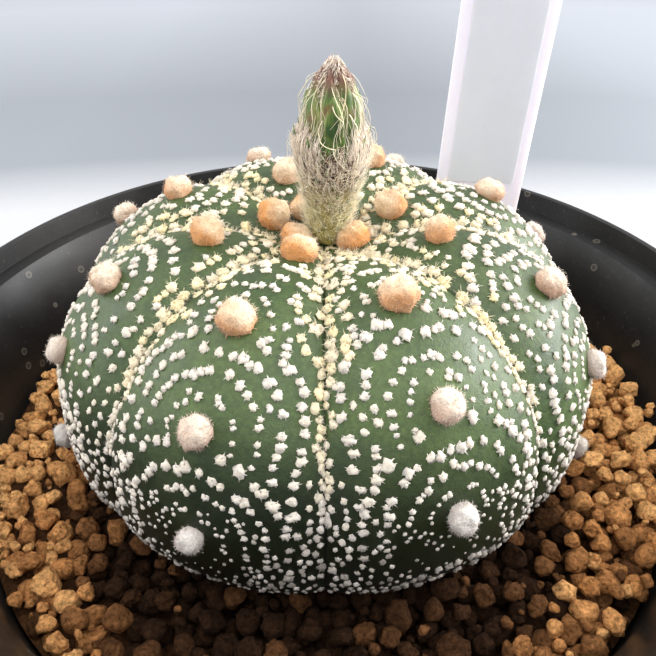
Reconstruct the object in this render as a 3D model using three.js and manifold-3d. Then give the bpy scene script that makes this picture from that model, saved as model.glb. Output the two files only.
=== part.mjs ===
// A potted star cactus: a low eight-ribbed body with woolly areoles and flecks and one flower bud,
// in a round plastic pot of baked clay granules, with a blank plant label pushed in behind it.
// Millimetres, +Z up, origin at the centre of the pot's foot, the side to look at faces -Y.

import * as THREE from 'three';
import { mergeVertices } from 'three/addons/utils/BufferGeometryUtils.js';
import Module from 'manifold-3d';

const wasm = await Module();
wasm.setup();

// Clearance between pieces that touch, and the full turn.
const GAP = 0.3;
const TURN = 2 * Math.PI;

// Pot: a tapered shell with a hanging collar, a ledge inside the mouth and a raised floor.
const POT_HEIGHT = 105;
const RIM_R = 65.4;
const LIP_WIDTH = 1.7;
const MOUTH_DEPTH = 3.6;
const LEDGE_R = 60.8;
const SHOULDER_R = 56.2;
const SHOULDER_DEPTH = 14.5;
const FLOOR_R = 42;
const FLOOR_Z = 4.4;
const WALL = 2;
const FOOT_RISE = 2.2;
const FOOT_WIDTH = 4;
const FOOT_EDGE = 0.6;
const LIP_EDGE = 0.5;
const LEDGE_DRAFT = 0.3;
const COLLAR_HEIGHT = 14;
const COLLAR_WALL = 1.6;
const COLLAR_TAPER = 0.9;
const DRAIN_R = 5;
const SIDE_DRAIN_R = 4;
const SIDE_DRAIN_RING_R = 27;
const SIDE_DRAINS = 6;
const DRAIN_SEGMENTS = 12;
const POT_SEGMENTS = 40;

// Cactus body: its widest circle lies a little below the pot's rim.
const EQUATOR_Z = POT_HEIGHT - 7.9;
const BODY_R = 40;
const CROWN_HEIGHT = 28.9;
const UNDER_DEPTH = 15.3;
const CROWN_POWER = 2.58;
const UNDER_POWER = 2.47;
const DIP_DEPTH = 6.8;
const DIP_R = 14;
const RIBS = 8;
const GROOVE_DEPTH = 2.8;
const GROOVE_SHARPNESS = 2.5;
const GROOVE_FADE = 0.6;
// Between these two places a groove grows shallower and narrower, to this depth and sharpness.
const GROOVE_THINNING = [0.6, 1.15];
const LOW_GROOVE_DEPTH = 0.8;
const LOW_GROOVE_SHARPNESS = 4;
const RIB_CELLS = 10;
const SKIN_FIRST = 0.1;
const SKIN_LAST = 1.12;
const SKIN_ROWS = 18;
const UNDER_PLACES = [1.27, 1.48, 1.75];

// Taproot: [radius, height over the widest circle], from inside the body down.
const ROOT = [[0, -12], [11, -13], [8, -18], [6, -26], [4.2, -38], [2.4, -50], [0, -60]];
const ROOT_SEGMENTS = 16;

// Areoles: felted domes along each rib's crest. A place along the rib counts 0 at the crown and 1 at
// the widest circle. Ribs are numbered round from the one at the front right. The youngest areoles
// crowd round the bud on a few ribs.
const AREOLE_FIRST = [0.31, 0.21, 0.12, 0.27, 0.18, 0.08, 0.21, 0.09];
const AREOLE_STEP = [0.29, 0.3, 0.3, 0.31, 0.27, 0.255, 0.268, 0.285];
const AREOLE_LAST = 1.12;
const YOUNG_AREOLE_RIBS = [1, 3, 4, 6];
const YOUNG_AREOLE_PLACE = 0.066;
const AREOLE_R = 2.5;
const AREOLE_LIFT = 0.7;
const AREOLE_FLATNESS = 0.8;

// Flecks: woolly tufts in arches that cross each rib and sweep down beside its grooves. Across a rib,
// 0 is the crest and 1 the groove. The chances say how many of the skin's cells carry one.
const FLECK_HEIGHT = 0.85;
const ARCH_SWEEP = 0.34;
const ARCH_EVERY = 2;
const ARCH_CHANCE = 0.8;
const STRAY_CHANCE = 0.12;
const GROOVE_CHANCE = 0.6;
const CREST_BARE = 0.1;
const BARE_RADIUS = 3.6;

// Soil: a bed with granules sunk into its top.
const BED_TOP = EQUATOR_Z - 12.6;
const GRANULES_FROM_R = 33;
const GRANULES_TO_R = 53.5;
const GRANULE_AREA = 32;
const GRANULE_SIZE = 4;
const GRANULE_VARIATION = 0.15;
const GRANULE_SPREAD = 0.26;
const GRANULE_SCATTER = 0.4;
const GRANULE_RISE = [0.4, 1.8];
const GRANULE_WALL_GAP = 1;
const BED_SEGMENTS = 32;
const LOW_AREOLE_PLACE = 0.9;

// Flower bud: a woolly tube covered with pointed scales, holding a spindle of closed petals.
const BUD_BASE_Z = EQUATOR_Z + 22.75;
const BUD_X = 0.7;
const BUD_LEAN = 0.03;
const TUBE = [[2, 0], [2.6, 1.2], [3.1, 4], [3.6, 7], [4.2, 10], [4.7, 12.5], [4.8, 14.5], [4.4, 16]];
const CUP_R = 3.9;
const CUP_FLOOR = 12;
const TUBE_COLUMNS = 16;
const SCALE_RINGS = 6;
const SCALES_PER_RING = 8;
const SCALES_FROM = 3.6;
const SCALE_RING_STEP = 1.8;
const SCALE_LENGTH = 2.5;
const SCALE_WIDTH = 1.3;
const SCALE_BREADTH = 0.55;
const SCALE_THICKNESS = 0.38;
const SCALE_TILT = 0.32;
const SCALE_SEAT = 0.2;
const SCALE_RISE = 0.3;
const SCALE_SIZES = [0.8, 1.2];
const SCALE_SCATTER = 0.15;
const PETALS = 9;
const PETAL_LAYERS = [[3, 12.4], [3.55, 15], [3.5, 17.5], [3, 20], [2.1, 22.3], [1, 24]];
const PETAL_TIP = 24.6;
const PETAL_RIDGE = 0.14;
const PETAL_TWIST = 0.12;
const PETAL_FOOT = 0.05;

// Plant label: a thin plastic tag with a pointed foot, and a blank strip of tape on its front.
const LABEL_WIDTH = 16.5;
const LABEL_THICKNESS = 1.1;
const LABEL_TOP_Z = EQUATOR_Z + 75;
const LABEL_TIP_Z = EQUATOR_Z - 48;
const LABEL_POINT = 20;
const LABEL_CORNER_R = 2;
const LABEL_X = 29.5;
const LABEL_Y = 36;
const LABEL_LEAN = THREE.MathUtils.degToRad(2.2);
const TAPE_MARGIN = 2;
const TAPE_THICKNESS = 0.2;
const TAPE_BOTTOM_Z = EQUATOR_Z + 15.5;
const TAPE_TOP_MARGIN = 6;
const TAPE_GAP = 0.04;

// A repeatable stream of numbers from 0 to 1.
function seededRandom(seed) {
  let state = seed;
  return () => {
    state = (state + 0x6d2b79f5) | 0;
    let mixed = Math.imul(state ^ (state >>> 15), 1 | state);
    mixed = (mixed + Math.imul(mixed ^ (mixed >>> 7), 61 | mixed)) ^ mixed;
    return ((mixed ^ (mixed >>> 14)) >>> 0) / 4294967296;
  };
}

// Solids

// The closed geometry as a solid that can be joined and cut.
function toSolid(geometry) {
  const bare = geometry.clone();
  bare.deleteAttribute('normal');
  bare.deleteAttribute('uv');
  const merged = mergeVertices(bare, 1e-4);
  const corners = merged.index.array;
  const triVerts = [];
  for (let i = 0; i < corners.length; i += 3) {
    const [a, b, c] = [corners[i], corners[i + 1], corners[i + 2]];
    if (a !== b && b !== c && c !== a) triVerts.push(a, b, c);
  }
  const vertProperties = new Float32Array(merged.attributes.position.array);
  return new wasm.Manifold(
    new wasm.Mesh({ numProp: 3, vertProperties, triVerts: new Uint32Array(triVerts) }),
  );
}

// The largest connected body of a solid; cutting can leave loose scraps.
function largestBody(solid) {
  const bodies = solid.decompose();
  bodies.sort((one, other) => other.volume() - one.volume());
  return bodies[0];
}

function toGeometry(solid) {
  const mesh = solid.getMesh();
  const geometry = new THREE.BufferGeometry();
  geometry.setAttribute('position', new THREE.Float32BufferAttribute(mesh.vertProperties, 3));
  geometry.setIndex(new THREE.Uint32BufferAttribute(mesh.triVerts, 1));
  geometry.computeVertexNormals();
  return geometry;
}

function join(solids) {
  return wasm.Manifold.union(solids);
}

// A solid of revolution about Z from [radius, height] pairs, walked up the outside.
function turned(profile, segments) {
  const points = profile.map(([r, z]) => new THREE.Vector2(r, z));
  return new THREE.LatheGeometry(points, segments).rotateX(Math.PI / 2);
}

// A closed skin over rings of points, with a single point at each end. Rings run from the top down
// and their points turn from -Y towards +X. A cell with an entry in tips is raised to that point.
function skin(top, rings, bottom, tips = new Map()) {
  const columns = rings[0].length;
  const points = [top, ...rings.flat(), bottom];
  const last = points.length - 1;
  const at = (ring, column) => 1 + ring * columns + (column % columns);
  const index = [];
  for (let column = 0; column < columns; column += 1) {
    index.push(0, at(0, column), at(0, column + 1));
    for (let ring = 0; ring < rings.length - 1; ring += 1) {
      const [a, b] = [at(ring, column), at(ring + 1, column)];
      const [c, d] = [at(ring + 1, column + 1), at(ring, column + 1)];
      const tip = tips.get(`${ring},${column}`);
      if (tip) {
        const apex = points.push(tip) - 1;
        index.push(a, b, apex, b, c, apex, c, d, apex, d, a, apex);
      } else {
        index.push(a, b, c, a, c, d);
      }
    }
    index.push(last, at(rings.length - 1, column + 1), at(rings.length - 1, column));
  }
  const geometry = new THREE.BufferGeometry().setFromPoints(points);
  geometry.setIndex(index);
  return geometry;
}

// A point at a radius, azimuth and height; azimuth 0 faces -Y and grows towards +X.
function polar(radius, azimuth, z) {
  return new THREE.Vector3(radius * Math.sin(azimuth), -radius * Math.cos(azimuth), z);
}

// Pot

function potGeometry() {
  const mouthZ = POT_HEIGHT - MOUTH_DEPTH;
  const shoulderZ = POT_HEIGHT - SHOULDER_DEPTH;
  const collarZ = POT_HEIGHT - COLLAR_HEIGHT;
  const footR = FLOOR_R + WALL;
  const innerLipR = RIM_R - LIP_WIDTH;
  const profile = [
    [DRAIN_R, FOOT_RISE],
    [footR - FOOT_WIDTH, FOOT_RISE],
    [footR - FOOT_WIDTH, 0],
    [footR - FOOT_EDGE, 0],
    [footR, FOOT_EDGE],
    [SHOULDER_R + WALL, shoulderZ],
    [LEDGE_R + COLLAR_WALL, mouthZ - WALL],
    [RIM_R - COLLAR_WALL, mouthZ - WALL],
    [RIM_R - COLLAR_WALL - COLLAR_TAPER, collarZ],
    [RIM_R - COLLAR_TAPER, collarZ],
    [RIM_R, POT_HEIGHT - LIP_EDGE],
    [RIM_R - LIP_EDGE, POT_HEIGHT],
    [innerLipR, POT_HEIGHT],
    [innerLipR - LEDGE_DRAFT, mouthZ],
    [LEDGE_R, mouthZ - LEDGE_DRAFT],
    [SHOULDER_R, shoulderZ],
    [FLOOR_R, FLOOR_Z],
    [DRAIN_R, FLOOR_Z],
    [DRAIN_R, FOOT_RISE],
  ];
  const shell = toSolid(turned(profile, POT_SEGMENTS));
  const drains = [];
  for (let i = 0; i < SIDE_DRAINS; i += 1) {
    const drill = new THREE.CylinderGeometry(SIDE_DRAIN_R, SIDE_DRAIN_R, 4 * FLOOR_Z, DRAIN_SEGMENTS);
    const place = polar(SIDE_DRAIN_RING_R, (i * TURN) / SIDE_DRAINS, 0);
    drains.push(toSolid(drill.rotateX(Math.PI / 2).translate(place.x, place.y, place.z)));
  }
  return toGeometry(shell.subtract(join(drains)));
}

// The radius of the pot's inner wall at a height.
function potInnerR(z) {
  const shoulderZ = POT_HEIGHT - SHOULDER_DEPTH;
  if (z < shoulderZ) {
    return THREE.MathUtils.mapLinear(z, FLOOR_Z, shoulderZ, FLOOR_R, SHOULDER_R);
  }
  return THREE.MathUtils.mapLinear(z, shoulderZ, POT_HEIGHT - MOUTH_DEPTH, SHOULDER_R, LEDGE_R);
}

// Cactus body

// Radius and height of the crests' outline at a place along a rib, 0 crown, 1 widest, 2 underside.
function outline(place) {
  const angle = (place * Math.PI) / 2;
  const upper = place <= 1;
  const power = 2 / (upper ? CROWN_POWER : UNDER_POWER);
  const height = upper ? CROWN_HEIGHT : -UNDER_DEPTH;
  const radius = BODY_R * Math.abs(Math.sin(angle)) ** power;
  const dip = upper ? DIP_DEPTH * Math.exp(-((radius / DIP_R) ** 2)) : 0;
  return new THREE.Vector2(radius, EQUATOR_Z + height * Math.abs(Math.cos(angle)) ** power - dip);
}

// The direction out of the crests' outline at a place.
function outlineNormal(place) {
  const step = outline(place + 0.01).sub(outline(Math.max(place - 0.01, 0)));
  return new THREE.Vector2(-step.y, step.x).normalize();
}

// How far the skin lies under the crests' outline; across is 0 on a crest and 1 in a groove.
function grooveDepth(across, place, radius) {
  const { clamp, inverseLerp, lerp } = THREE.MathUtils;
  const low = clamp(inverseLerp(...GROOVE_THINNING, place), 0, 1);
  const depth = lerp(GROOVE_DEPTH, LOW_GROOVE_DEPTH, low) * (radius / BODY_R) ** GROOVE_FADE;
  return depth * Math.abs(across) ** lerp(GROOVE_SHARPNESS, LOW_GROOVE_SHARPNESS, low);
}

// A point on the skin of a rib, raised by a lift, and the direction out of it.
function onRib(rib, across, place, lift) {
  const azimuth = ((rib + 0.5 + across / 2) * TURN) / RIBS;
  const edge = outline(place);
  const out = outlineNormal(place);
  const raise = lift - grooveDepth(across, place, edge.x);
  const normal = polar(out.x, azimuth, out.y);
  return { point: polar(edge.x, azimuth, edge.y).addScaledVector(normal, raise), normal };
}

// The place of a skin row at a distance across a rib: rows hang in arches between the grooves.
function rowPlace(row, across) {
  const along = row / SKIN_ROWS;
  const sweep = ARCH_SWEEP * Math.abs(across) ** 3 * Math.sin(Math.PI * along);
  return SKIN_FIRST + (SKIN_LAST - SKIN_FIRST) * along + sweep * (1 - along);
}

// The rib that a column of the skin's net lies on, and its distance across that rib.
function ribAndAcross(column) {
  return [Math.floor(column / RIB_CELLS), (2 * (column % RIB_CELLS)) / RIB_CELLS - 1];
}

// A ring of the skin's net, its points at the places that a function gives for distances across.
function netRing(placeAt) {
  return Array.from({ length: RIBS * RIB_CELLS }, (_, column) => {
    const [rib, across] = ribAndAcross(column);
    return onRib(rib, across, placeAt(across), 0).point;
  });
}

// The body's skin as a net of cells, each flat or raised to a tuft's point.
function bodySkin(raised) {
  const rows = [];
  for (let row = 0; row <= SKIN_ROWS; row += 1) {
    rows.push(netRing((across) => rowPlace(row, across)));
  }
  rows.push(...UNDER_PLACES.map((place) => netRing(() => place)));
  const crown = new THREE.Vector3(0, 0, outline(0).y);
  const under = new THREE.Vector3(0, 0, outline(2).y);
  return skin(crown, rows, under, raised);
}

// The places of every areole, as rib and place along it.
function areolePlaces() {
  const places = [];
  for (let rib = 0; rib < RIBS; rib += 1) {
    for (let place = AREOLE_FIRST[rib]; place < AREOLE_LAST; place += AREOLE_STEP[rib]) {
      places.push({ rib, place });
    }
  }
  places.push(...YOUNG_AREOLE_RIBS.map((rib) => ({ rib, place: YOUNG_AREOLE_PLACE })));
  return places.map(({ rib, place }) => ({ rib, place, spot: onRib(rib, 0, place, 0).point }));
}

// Turns a geometry's +Z to a direction and moves it to a point.
function stand(geometry, point, direction) {
  const turn = new THREE.Quaternion().setFromUnitVectors(new THREE.Vector3(0, 0, 1), direction);
  return geometry.applyQuaternion(turn).translate(point.x, point.y, point.z);
}

function areoleSolid({ rib, place }, growth) {
  const { point, normal } = onRib(rib, 0, place, AREOLE_LIFT);
  const dome = new THREE.SphereGeometry(AREOLE_R + growth, 8, 4).rotateX(Math.PI / 2);
  return toSolid(stand(dome.scale(1, 1, AREOLE_FLATNESS), point, normal));
}

// Whether a cell of the skin carries a tuft, by its row's arch, its place across and a random draw.
function carriesFleck(row, across, random) {
  const draw = random();
  const side = Math.abs(across);
  if (side < CREST_BARE) return false;
  if (side > 1 - 1.5 / RIB_CELLS) return draw < GROOVE_CHANCE;
  return draw < (row % ARCH_EVERY === 0 ? ARCH_CHANCE : STRAY_CHANCE);
}

// The point of every tuft, by the cell it stands on.
function fleckTips(areoles) {
  const random = seededRandom(11);
  const tips = new Map();
  for (let row = 0; row < SKIN_ROWS; row += 1) {
    for (let column = 0; column < RIBS * RIB_CELLS; column += 1) {
      const [rib, edge] = ribAndAcross(column);
      const across = edge + 1 / RIB_CELLS;
      const carries = carriesFleck(row, across, random);
      const tip = onRib(rib, across, rowPlace(row + 0.5, across), FLECK_HEIGHT).point;
      const bare = areoles.some(({ spot }) => spot.distanceTo(tip) < BARE_RADIUS);
      if (carries && !bare) tips.set(`${row},${column}`, tip);
    }
  }
  return tips;
}

function cactusGeometry() {
  const areoles = areolePlaces();
  const body = toSolid(bodySkin(fleckTips(areoles)));
  const domes = areoles.map((areole) => areoleSolid(areole, 0));
  const root = turned(ROOT.map(([r, z]) => [r, EQUATOR_Z + z]).reverse(), ROOT_SEGMENTS);
  return toGeometry(join([body, toSolid(root), ...domes]));
}

// The space the body keeps clear of soil: its outline, wider where flecks stand on it.
function bodyEnvelope() {
  const profile = [1, SKIN_LAST, ...UNDER_PLACES].map((place) => {
    const clearance = place <= SKIN_LAST ? FLECK_HEIGHT + GAP : 2 * GAP;
    const edge = outline(place).addScaledVector(outlineNormal(place), clearance);
    return [edge.x, edge.y];
  });
  const column = ROOT.slice(2, -1).map(([radius, z]) => [radius + 2 * GAP, EQUATOR_Z + z]);
  const top = [[0, POT_HEIGHT], [profile[0][0], POT_HEIGHT]];
  const path = [...top, ...profile, ...column, [0, EQUATOR_Z + ROOT.at(-1)[1] - GAP]];
  return toSolid(turned(path.reverse(), BED_SEGMENTS));
}

// Soil

// One lump with blunt corners, by pushing a block's corners in and out.
function granuleSolid(random, size, centre) {
  const lump = new THREE.BoxGeometry(size, size, size);
  lump.deleteAttribute('normal');
  lump.deleteAttribute('uv');
  const shaped = mergeVertices(lump, 1e-4);
  const corners = shaped.attributes.position;
  const corner = new THREE.Vector3();
  for (let i = 0; i < corners.count; i += 1) {
    const push = 1 + GRANULE_SPREAD * (2 * random() - 1);
    corner.fromBufferAttribute(corners, i).multiplyScalar(push);
    corners.setXYZ(i, corner.x, corner.y, corner.z);
  }
  shaped.rotateX(random()).rotateY(random()).rotateZ(TURN * random());
  return toSolid(shaped.translate(centre.x, centre.y, centre.z));
}

// Granules on a sunflower spiral, so they cover the bed evenly.
function granuleSolids() {
  const random = seededRandom(5);
  const goldenTurn = Math.PI * (3 - Math.sqrt(5));
  const solids = [];
  const first = Math.ceil((Math.PI * GRANULES_FROM_R ** 2) / GRANULE_AREA);
  const last = Math.floor((Math.PI * GRANULES_TO_R ** 2) / GRANULE_AREA);
  for (let i = first; i < last; i += 1) {
    const distance = Math.sqrt((i * GRANULE_AREA) / Math.PI) + GRANULE_SCATTER * (2 * random() - 1);
    const size = GRANULE_SIZE * (1 + GRANULE_VARIATION * (2 * random() - 1));
    const reach = potInnerR(BED_TOP) - GAP - GRANULE_WALL_GAP * size;
    const rise = THREE.MathUtils.lerp(...GRANULE_RISE, random());
    const centre = polar(Math.min(distance, reach), i * goldenTurn, BED_TOP + rise);
    solids.push(granuleSolid(random, size, centre));
  }
  return solids;
}

function soilGeometry() {
  const shoulderZ = POT_HEIGHT - SHOULDER_DEPTH;
  const wallR = (z) => potInnerR(z) - GAP;
  const profile = [
    [0, FLOOR_Z + GAP],
    [wallR(FLOOR_Z + GAP), FLOOR_Z + GAP],
    [wallR((FLOOR_Z + shoulderZ) / 2), (FLOOR_Z + shoulderZ) / 2],
    [wallR(Math.min(BED_TOP, shoulderZ)), Math.min(BED_TOP, shoulderZ)],
    [GRANULES_FROM_R, BED_TOP],
    [0, BED_TOP],
  ];
  const heap = join([toSolid(turned(profile, BED_SEGMENTS)), ...granuleSolids()]);
  const lowAreoles = areolePlaces().filter(({ place }) => place > LOW_AREOLE_PLACE);
  const room = lowAreoles.map((areole) => areoleSolid(areole, GAP));
  const slot = toSolid(labelShape(GAP));
  return toGeometry(largestBody(heap.subtract(join([bodyEnvelope(), slot, ...room]))));
}

// Flower bud

// Lays a piece that stands on the origin along the bud's leaning axis.
function alongBud(geometry) {
  return geometry.rotateY(BUD_LEAN).translate(BUD_X, 0, BUD_BASE_Z);
}

function tubeRadius(height) {
  const above = TUBE.findIndex(([, z]) => z > height);
  const [lowR, lowZ] = TUBE[above - 1];
  const [highR, highZ] = TUBE[above];
  return THREE.MathUtils.mapLinear(height, lowZ, highZ, lowR, highR);
}

// One pointed scale: a flat four-sided spike that leans up and out of the tube.
function scaleSolid(azimuth, height, size) {
  const length = SCALE_LENGTH * size;
  const spike = new THREE.ConeGeometry(SCALE_WIDTH * size, length, 4, 1);
  spike.scale(SCALE_BREADTH, 1, SCALE_THICKNESS).rotateX(Math.PI / 2 + SCALE_TILT);
  const seat = polar(tubeRadius(height) + SCALE_SEAT, azimuth, height + length * SCALE_RISE);
  return toSolid(spike.rotateZ(azimuth).translate(seat.x, seat.y, seat.z));
}

function tubeGeometry() {
  const tube = toSolid(turned([[0, 0], ...TUBE, [0, TUBE.at(-1)[1]]], TUBE_COLUMNS));
  const random = seededRandom(41);
  const scales = [];
  for (let ring = 0; ring < SCALE_RINGS; ring += 1) {
    const size = THREE.MathUtils.lerp(...SCALE_SIZES, ring / SCALE_RINGS);
    for (let i = 0; i < SCALES_PER_RING; i += 1) {
      const turn = i + (ring % 2) / 2 + SCALE_SCATTER * (2 * random() - 1);
      const azimuth = (turn * TURN) / SCALES_PER_RING;
      scales.push(scaleSolid(azimuth, SCALES_FROM + SCALE_RING_STEP * ring, size));
    }
  }
  const cupTop = TUBE.at(-1)[1];
  const space = [[0, CUP_FLOOR], [CUP_R - GAP, CUP_FLOOR], [CUP_R, cupTop], [CUP_R, PETAL_TIP], [0, PETAL_TIP]];
  const scaly = join([tube, ...scales]).subtract(toSolid(turned(space, TUBE_COLUMNS)));
  return alongBud(toGeometry(largestBody(scaly)));
}

// Closed petals wrapped into a ridged spindle that ends in a point.
function petalGeometry() {
  const columns = 3 * PETALS;
  const rings = [...PETAL_LAYERS].reverse().map(([radius, z], layer) => {
    const twist = PETAL_TWIST * layer;
    return Array.from({ length: columns }, (_, i) => {
      const azimuth = (i * TURN) / columns;
      const ridge = 1 - PETAL_RIDGE * Math.abs(Math.sin((PETALS * (azimuth + twist)) / 2));
      return polar(radius * ridge, azimuth, z);
    });
  });
  const foot = new THREE.Vector3(0, 0, PETAL_LAYERS[0][1] - PETAL_FOOT);
  return alongBud(skin(new THREE.Vector3(0, 0, PETAL_TIP), rings, foot));
}

// Plant label

// The tag's outline, grown all round by a clearance, standing at its place in the pot.
function labelShape(clearance) {
  const half = LABEL_WIDTH / 2 + clearance;
  const height = LABEL_TOP_Z - LABEL_TIP_Z;
  const corner = LABEL_CORNER_R;
  const tag = new THREE.Shape();
  tag.moveTo(0, -clearance);
  tag.lineTo(half, LABEL_POINT - clearance);
  tag.lineTo(half, height - corner + clearance);
  tag.absarc(half - corner, height - corner + clearance, corner, 0, TURN / 4);
  tag.absarc(corner - half, height - corner + clearance, corner, TURN / 4, TURN / 2);
  tag.lineTo(-half, LABEL_POINT - clearance);
  tag.closePath();
  const depth = LABEL_THICKNESS + 2 * clearance;
  const plate = new THREE.ExtrudeGeometry(tag, { depth, bevelEnabled: false, curveSegments: 4 });
  return placeLabel(plate.rotateX(Math.PI / 2).translate(0, depth / 2, 0));
}

function placeLabel(geometry) {
  const footX = LABEL_X - Math.tan(LABEL_LEAN) * (EQUATOR_Z - LABEL_TIP_Z);
  return geometry.rotateY(LABEL_LEAN).translate(footX, LABEL_Y, LABEL_TIP_Z);
}

function tapeGeometry() {
  const width = LABEL_WIDTH - 2 * TAPE_MARGIN;
  const height = LABEL_TOP_Z - TAPE_TOP_MARGIN - TAPE_BOTTOM_Z;
  const strip = new THREE.BoxGeometry(width, TAPE_THICKNESS, height);
  const front = -(LABEL_THICKNESS + TAPE_THICKNESS) / 2 - TAPE_GAP;
  return placeLabel(strip.translate(0, front, TAPE_BOTTOM_Z - LABEL_TIP_Z + height / 2));
}

// Assembly

function material(color, roughness) {
  return new THREE.MeshStandardMaterial({ color, roughness, metalness: 0 });
}

const pieces = [
  ['pot', potGeometry, material(0x1b1c20, 0.45)],
  ['soil', soilGeometry, material(0xa9743f, 0.95)],
  ['cactus_body', cactusGeometry, material(0x3f5a40, 0.6)],
  ['flower_bud_tube', tubeGeometry, material(0xa9a389, 0.9)],
  ['flower_bud_petals', petalGeometry, material(0x5f7f3c, 0.6)],
  ['plant_label', () => labelShape(0), material(0xe6e0ee, 0.4)],
  ['label_tape', tapeGeometry, material(0xeeecf2, 0.35)],
];

const plant = new THREE.Group();
for (const [name, build, look] of pieces) {
  const piece = new THREE.Mesh(build(), look);
  piece.name = name;
  plant.add(piece);
}

export default plant;
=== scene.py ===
"""Potted star cactus: finished pieces built around the packed part, which stays the fixed frame.

Sizes are in metres in the part's own frame: the pot's foot stands at zero, +Z is up and -Y is the front.
A place along a rib counts 0 at the crown, 1 at the widest circle and 2 under the body. A distance
across a rib counts 0 on its crest and 1 in the groove beside it.
"""

import math
import random

import bpy
import numpy as np
from mathutils import Matrix, Vector, noise
from mathutils.kdtree import KDTree


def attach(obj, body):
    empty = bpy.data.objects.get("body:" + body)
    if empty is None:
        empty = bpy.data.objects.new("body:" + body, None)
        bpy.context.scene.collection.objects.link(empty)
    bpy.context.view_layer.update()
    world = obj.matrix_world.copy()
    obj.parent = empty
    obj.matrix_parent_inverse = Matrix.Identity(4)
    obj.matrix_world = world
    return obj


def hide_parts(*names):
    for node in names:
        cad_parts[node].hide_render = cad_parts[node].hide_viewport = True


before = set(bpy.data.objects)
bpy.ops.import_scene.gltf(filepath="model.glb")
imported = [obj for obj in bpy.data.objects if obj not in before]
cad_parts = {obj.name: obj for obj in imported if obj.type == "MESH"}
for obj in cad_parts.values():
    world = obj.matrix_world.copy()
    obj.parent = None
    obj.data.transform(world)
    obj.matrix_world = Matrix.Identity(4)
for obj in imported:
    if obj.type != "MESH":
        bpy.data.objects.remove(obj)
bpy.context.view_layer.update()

bl_info = {
    "name": "Potted star cactus",
    "version": (1, 0, 0),
    "blender": (4, 5, 0),
    "location": "3D View > Sidebar > Star cactus",
    "description": "Builds a potted star cactus in bud, piece by piece, around its packed part",
    "category": "Add Mesh",
}

BODY = "root"
TURN = 2 * math.pi
MM = 0.001

# The camera: its eye, how far it looks down and rolls, its lens and its shift in pixels of the photograph's width.
EYE = (0, -85.6 * MM, 166.6 * MM)
LOOK_DOWN = math.radians(36.22)
ROLL = math.radians(-0.39)
FOCAL_LENGTH = 37.04
SENSOR_WIDTH = 36
SHIFT_PIXELS = 3.9
PICTURE_SIDE = 656

# The body's shape, as the part has it; the crease is finer than the part's grooves.
EQUATOR_Z = 97.1 * MM
BODY_R = 40 * MM
CROWN_HEIGHT = 28.9 * MM
UNDER_DEPTH = 15.3 * MM
CROWN_POWER = 2.58
UNDER_POWER = 2.47
DIP_DEPTH = 6.8 * MM
DIP_R = 14 * MM
RIBS = 8
GROOVE_DEPTH = 2.8 * MM
GROOVE_SHARPNESS = 2.5
GROOVE_THINNING = (0.6, 1.15)
LOW_GROOVE_DEPTH = 0.8 * MM
LOW_GROOVE_SHARPNESS = 4
CREASE_DEPTH = 0.22 * MM
CREASE_START = 0.984
ROOT_PATH = ((9.4, -16.6), (8, -18), (6.9, -22), (6, -26), (5, -32), (4.2, -38), (3.3, -44), (2.4, -50), (1.3, -56))
ROOT_TIP = -60 * MM

# Where the areoles sit: the first place on each rib, the step to the next and the last, then the young ones.
AREOLE_FIRST = (0.31, 0.21, 0.12, 0.27, 0.18, 0.08, 0.21, 0.09)
AREOLE_STEP = (0.29, 0.3, 0.3, 0.31, 0.27, 0.255, 0.268, 0.285)
AREOLE_LAST = 1.12
YOUNG_AREOLES = ((1, 0.04), (3, 0.066), (4, 0.066), (6, 0.036))

# The skin's net: columns to a rib, rows from the crown to the root's tip, and where the root starts.
SKIN_COLUMNS = 40
SKIN_ROWS = 104
ROOT_ROW = 90
ROOT_PLACE = 1.86

# The pot's walls, as the part has them.
POT_HEIGHT = 105 * MM
RIM_R = 65.4 * MM
LIP_WIDTH = 1.7 * MM
MOUTH_Z = 101.4 * MM
LEDGE_R = 60.8 * MM
SHOULDER_R = 56.2 * MM
SHOULDER_Z = 90.5 * MM
FLOOR_R = 42 * MM
FLOOR_Z = 4.4 * MM
WALL = 2 * MM
FOOT_RISE = 2.2 * MM
FOOT_WIDTH = 4 * MM
FOOT_EDGE = 0.6 * MM
LIP_EDGE = 0.5 * MM
LEDGE_DRAFT = 0.3 * MM
COLLAR_Z = 91 * MM
COLLAR_WALL = 1.6 * MM
COLLAR_TAPER = 0.9 * MM
DRAIN_R = 5 * MM
SIDE_DRAIN_R = 4 * MM
SIDE_DRAIN_RING_R = 27 * MM
SIDE_DRAINS = 6

# The turn from each of a spiral's scales to the next, and where the petals show between the hairs.
GOLDEN_TURN = math.pi * (3 - math.sqrt(5))
PETAL_GAPS = (0.05, 2.4, 4.2)

# The bud's foot and its outlines, as radius and height above the foot.
BUD_FOOT = Vector((0.7 * MM, 0, EQUATOR_Z + 22.75 * MM))
BUD_LEAN = 0.03
TUBE = ((1.9, 0), (2.5, 1.2), (3.0, 4), (3.5, 7), (4.1, 10), (4.6, 12.5), (4.65, 14.5), (4.1, 16), (3.3, 16.6))
CONE = ((2.9, 13.4), (3.5, 15), (3.4, 17.5), (2.95, 20), (2.1, 22.3), (1.0, 24.0), (0.25, 24.6))

# The scales' lengths and widths, each with the height above the foot that it belongs to.
SCALE_LENGTHS = ((0.9, 1), (1.3, 9), (2.7, 11), (3.1, 14))
SCALE_WIDTHS = ((1.6, 8), (2.5, 11))

# The plant label, as the part has it, and its strip's foot over the label's tip and gap under its top.
LABEL_TOP_Z = EQUATOR_Z + 75 * MM
LABEL_TIP_Z = EQUATOR_Z - 48 * MM
LABEL_POINT = 20 * MM
LABEL_WIDTH = 16.5 * MM
LABEL_X = 29.5 * MM
LABEL_Y = 36 * MM
LABEL_LEAN = math.radians(2.2)
STRIP_FOOT = 63.5 * MM
STRIP_GAP = 6 * MM

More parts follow.
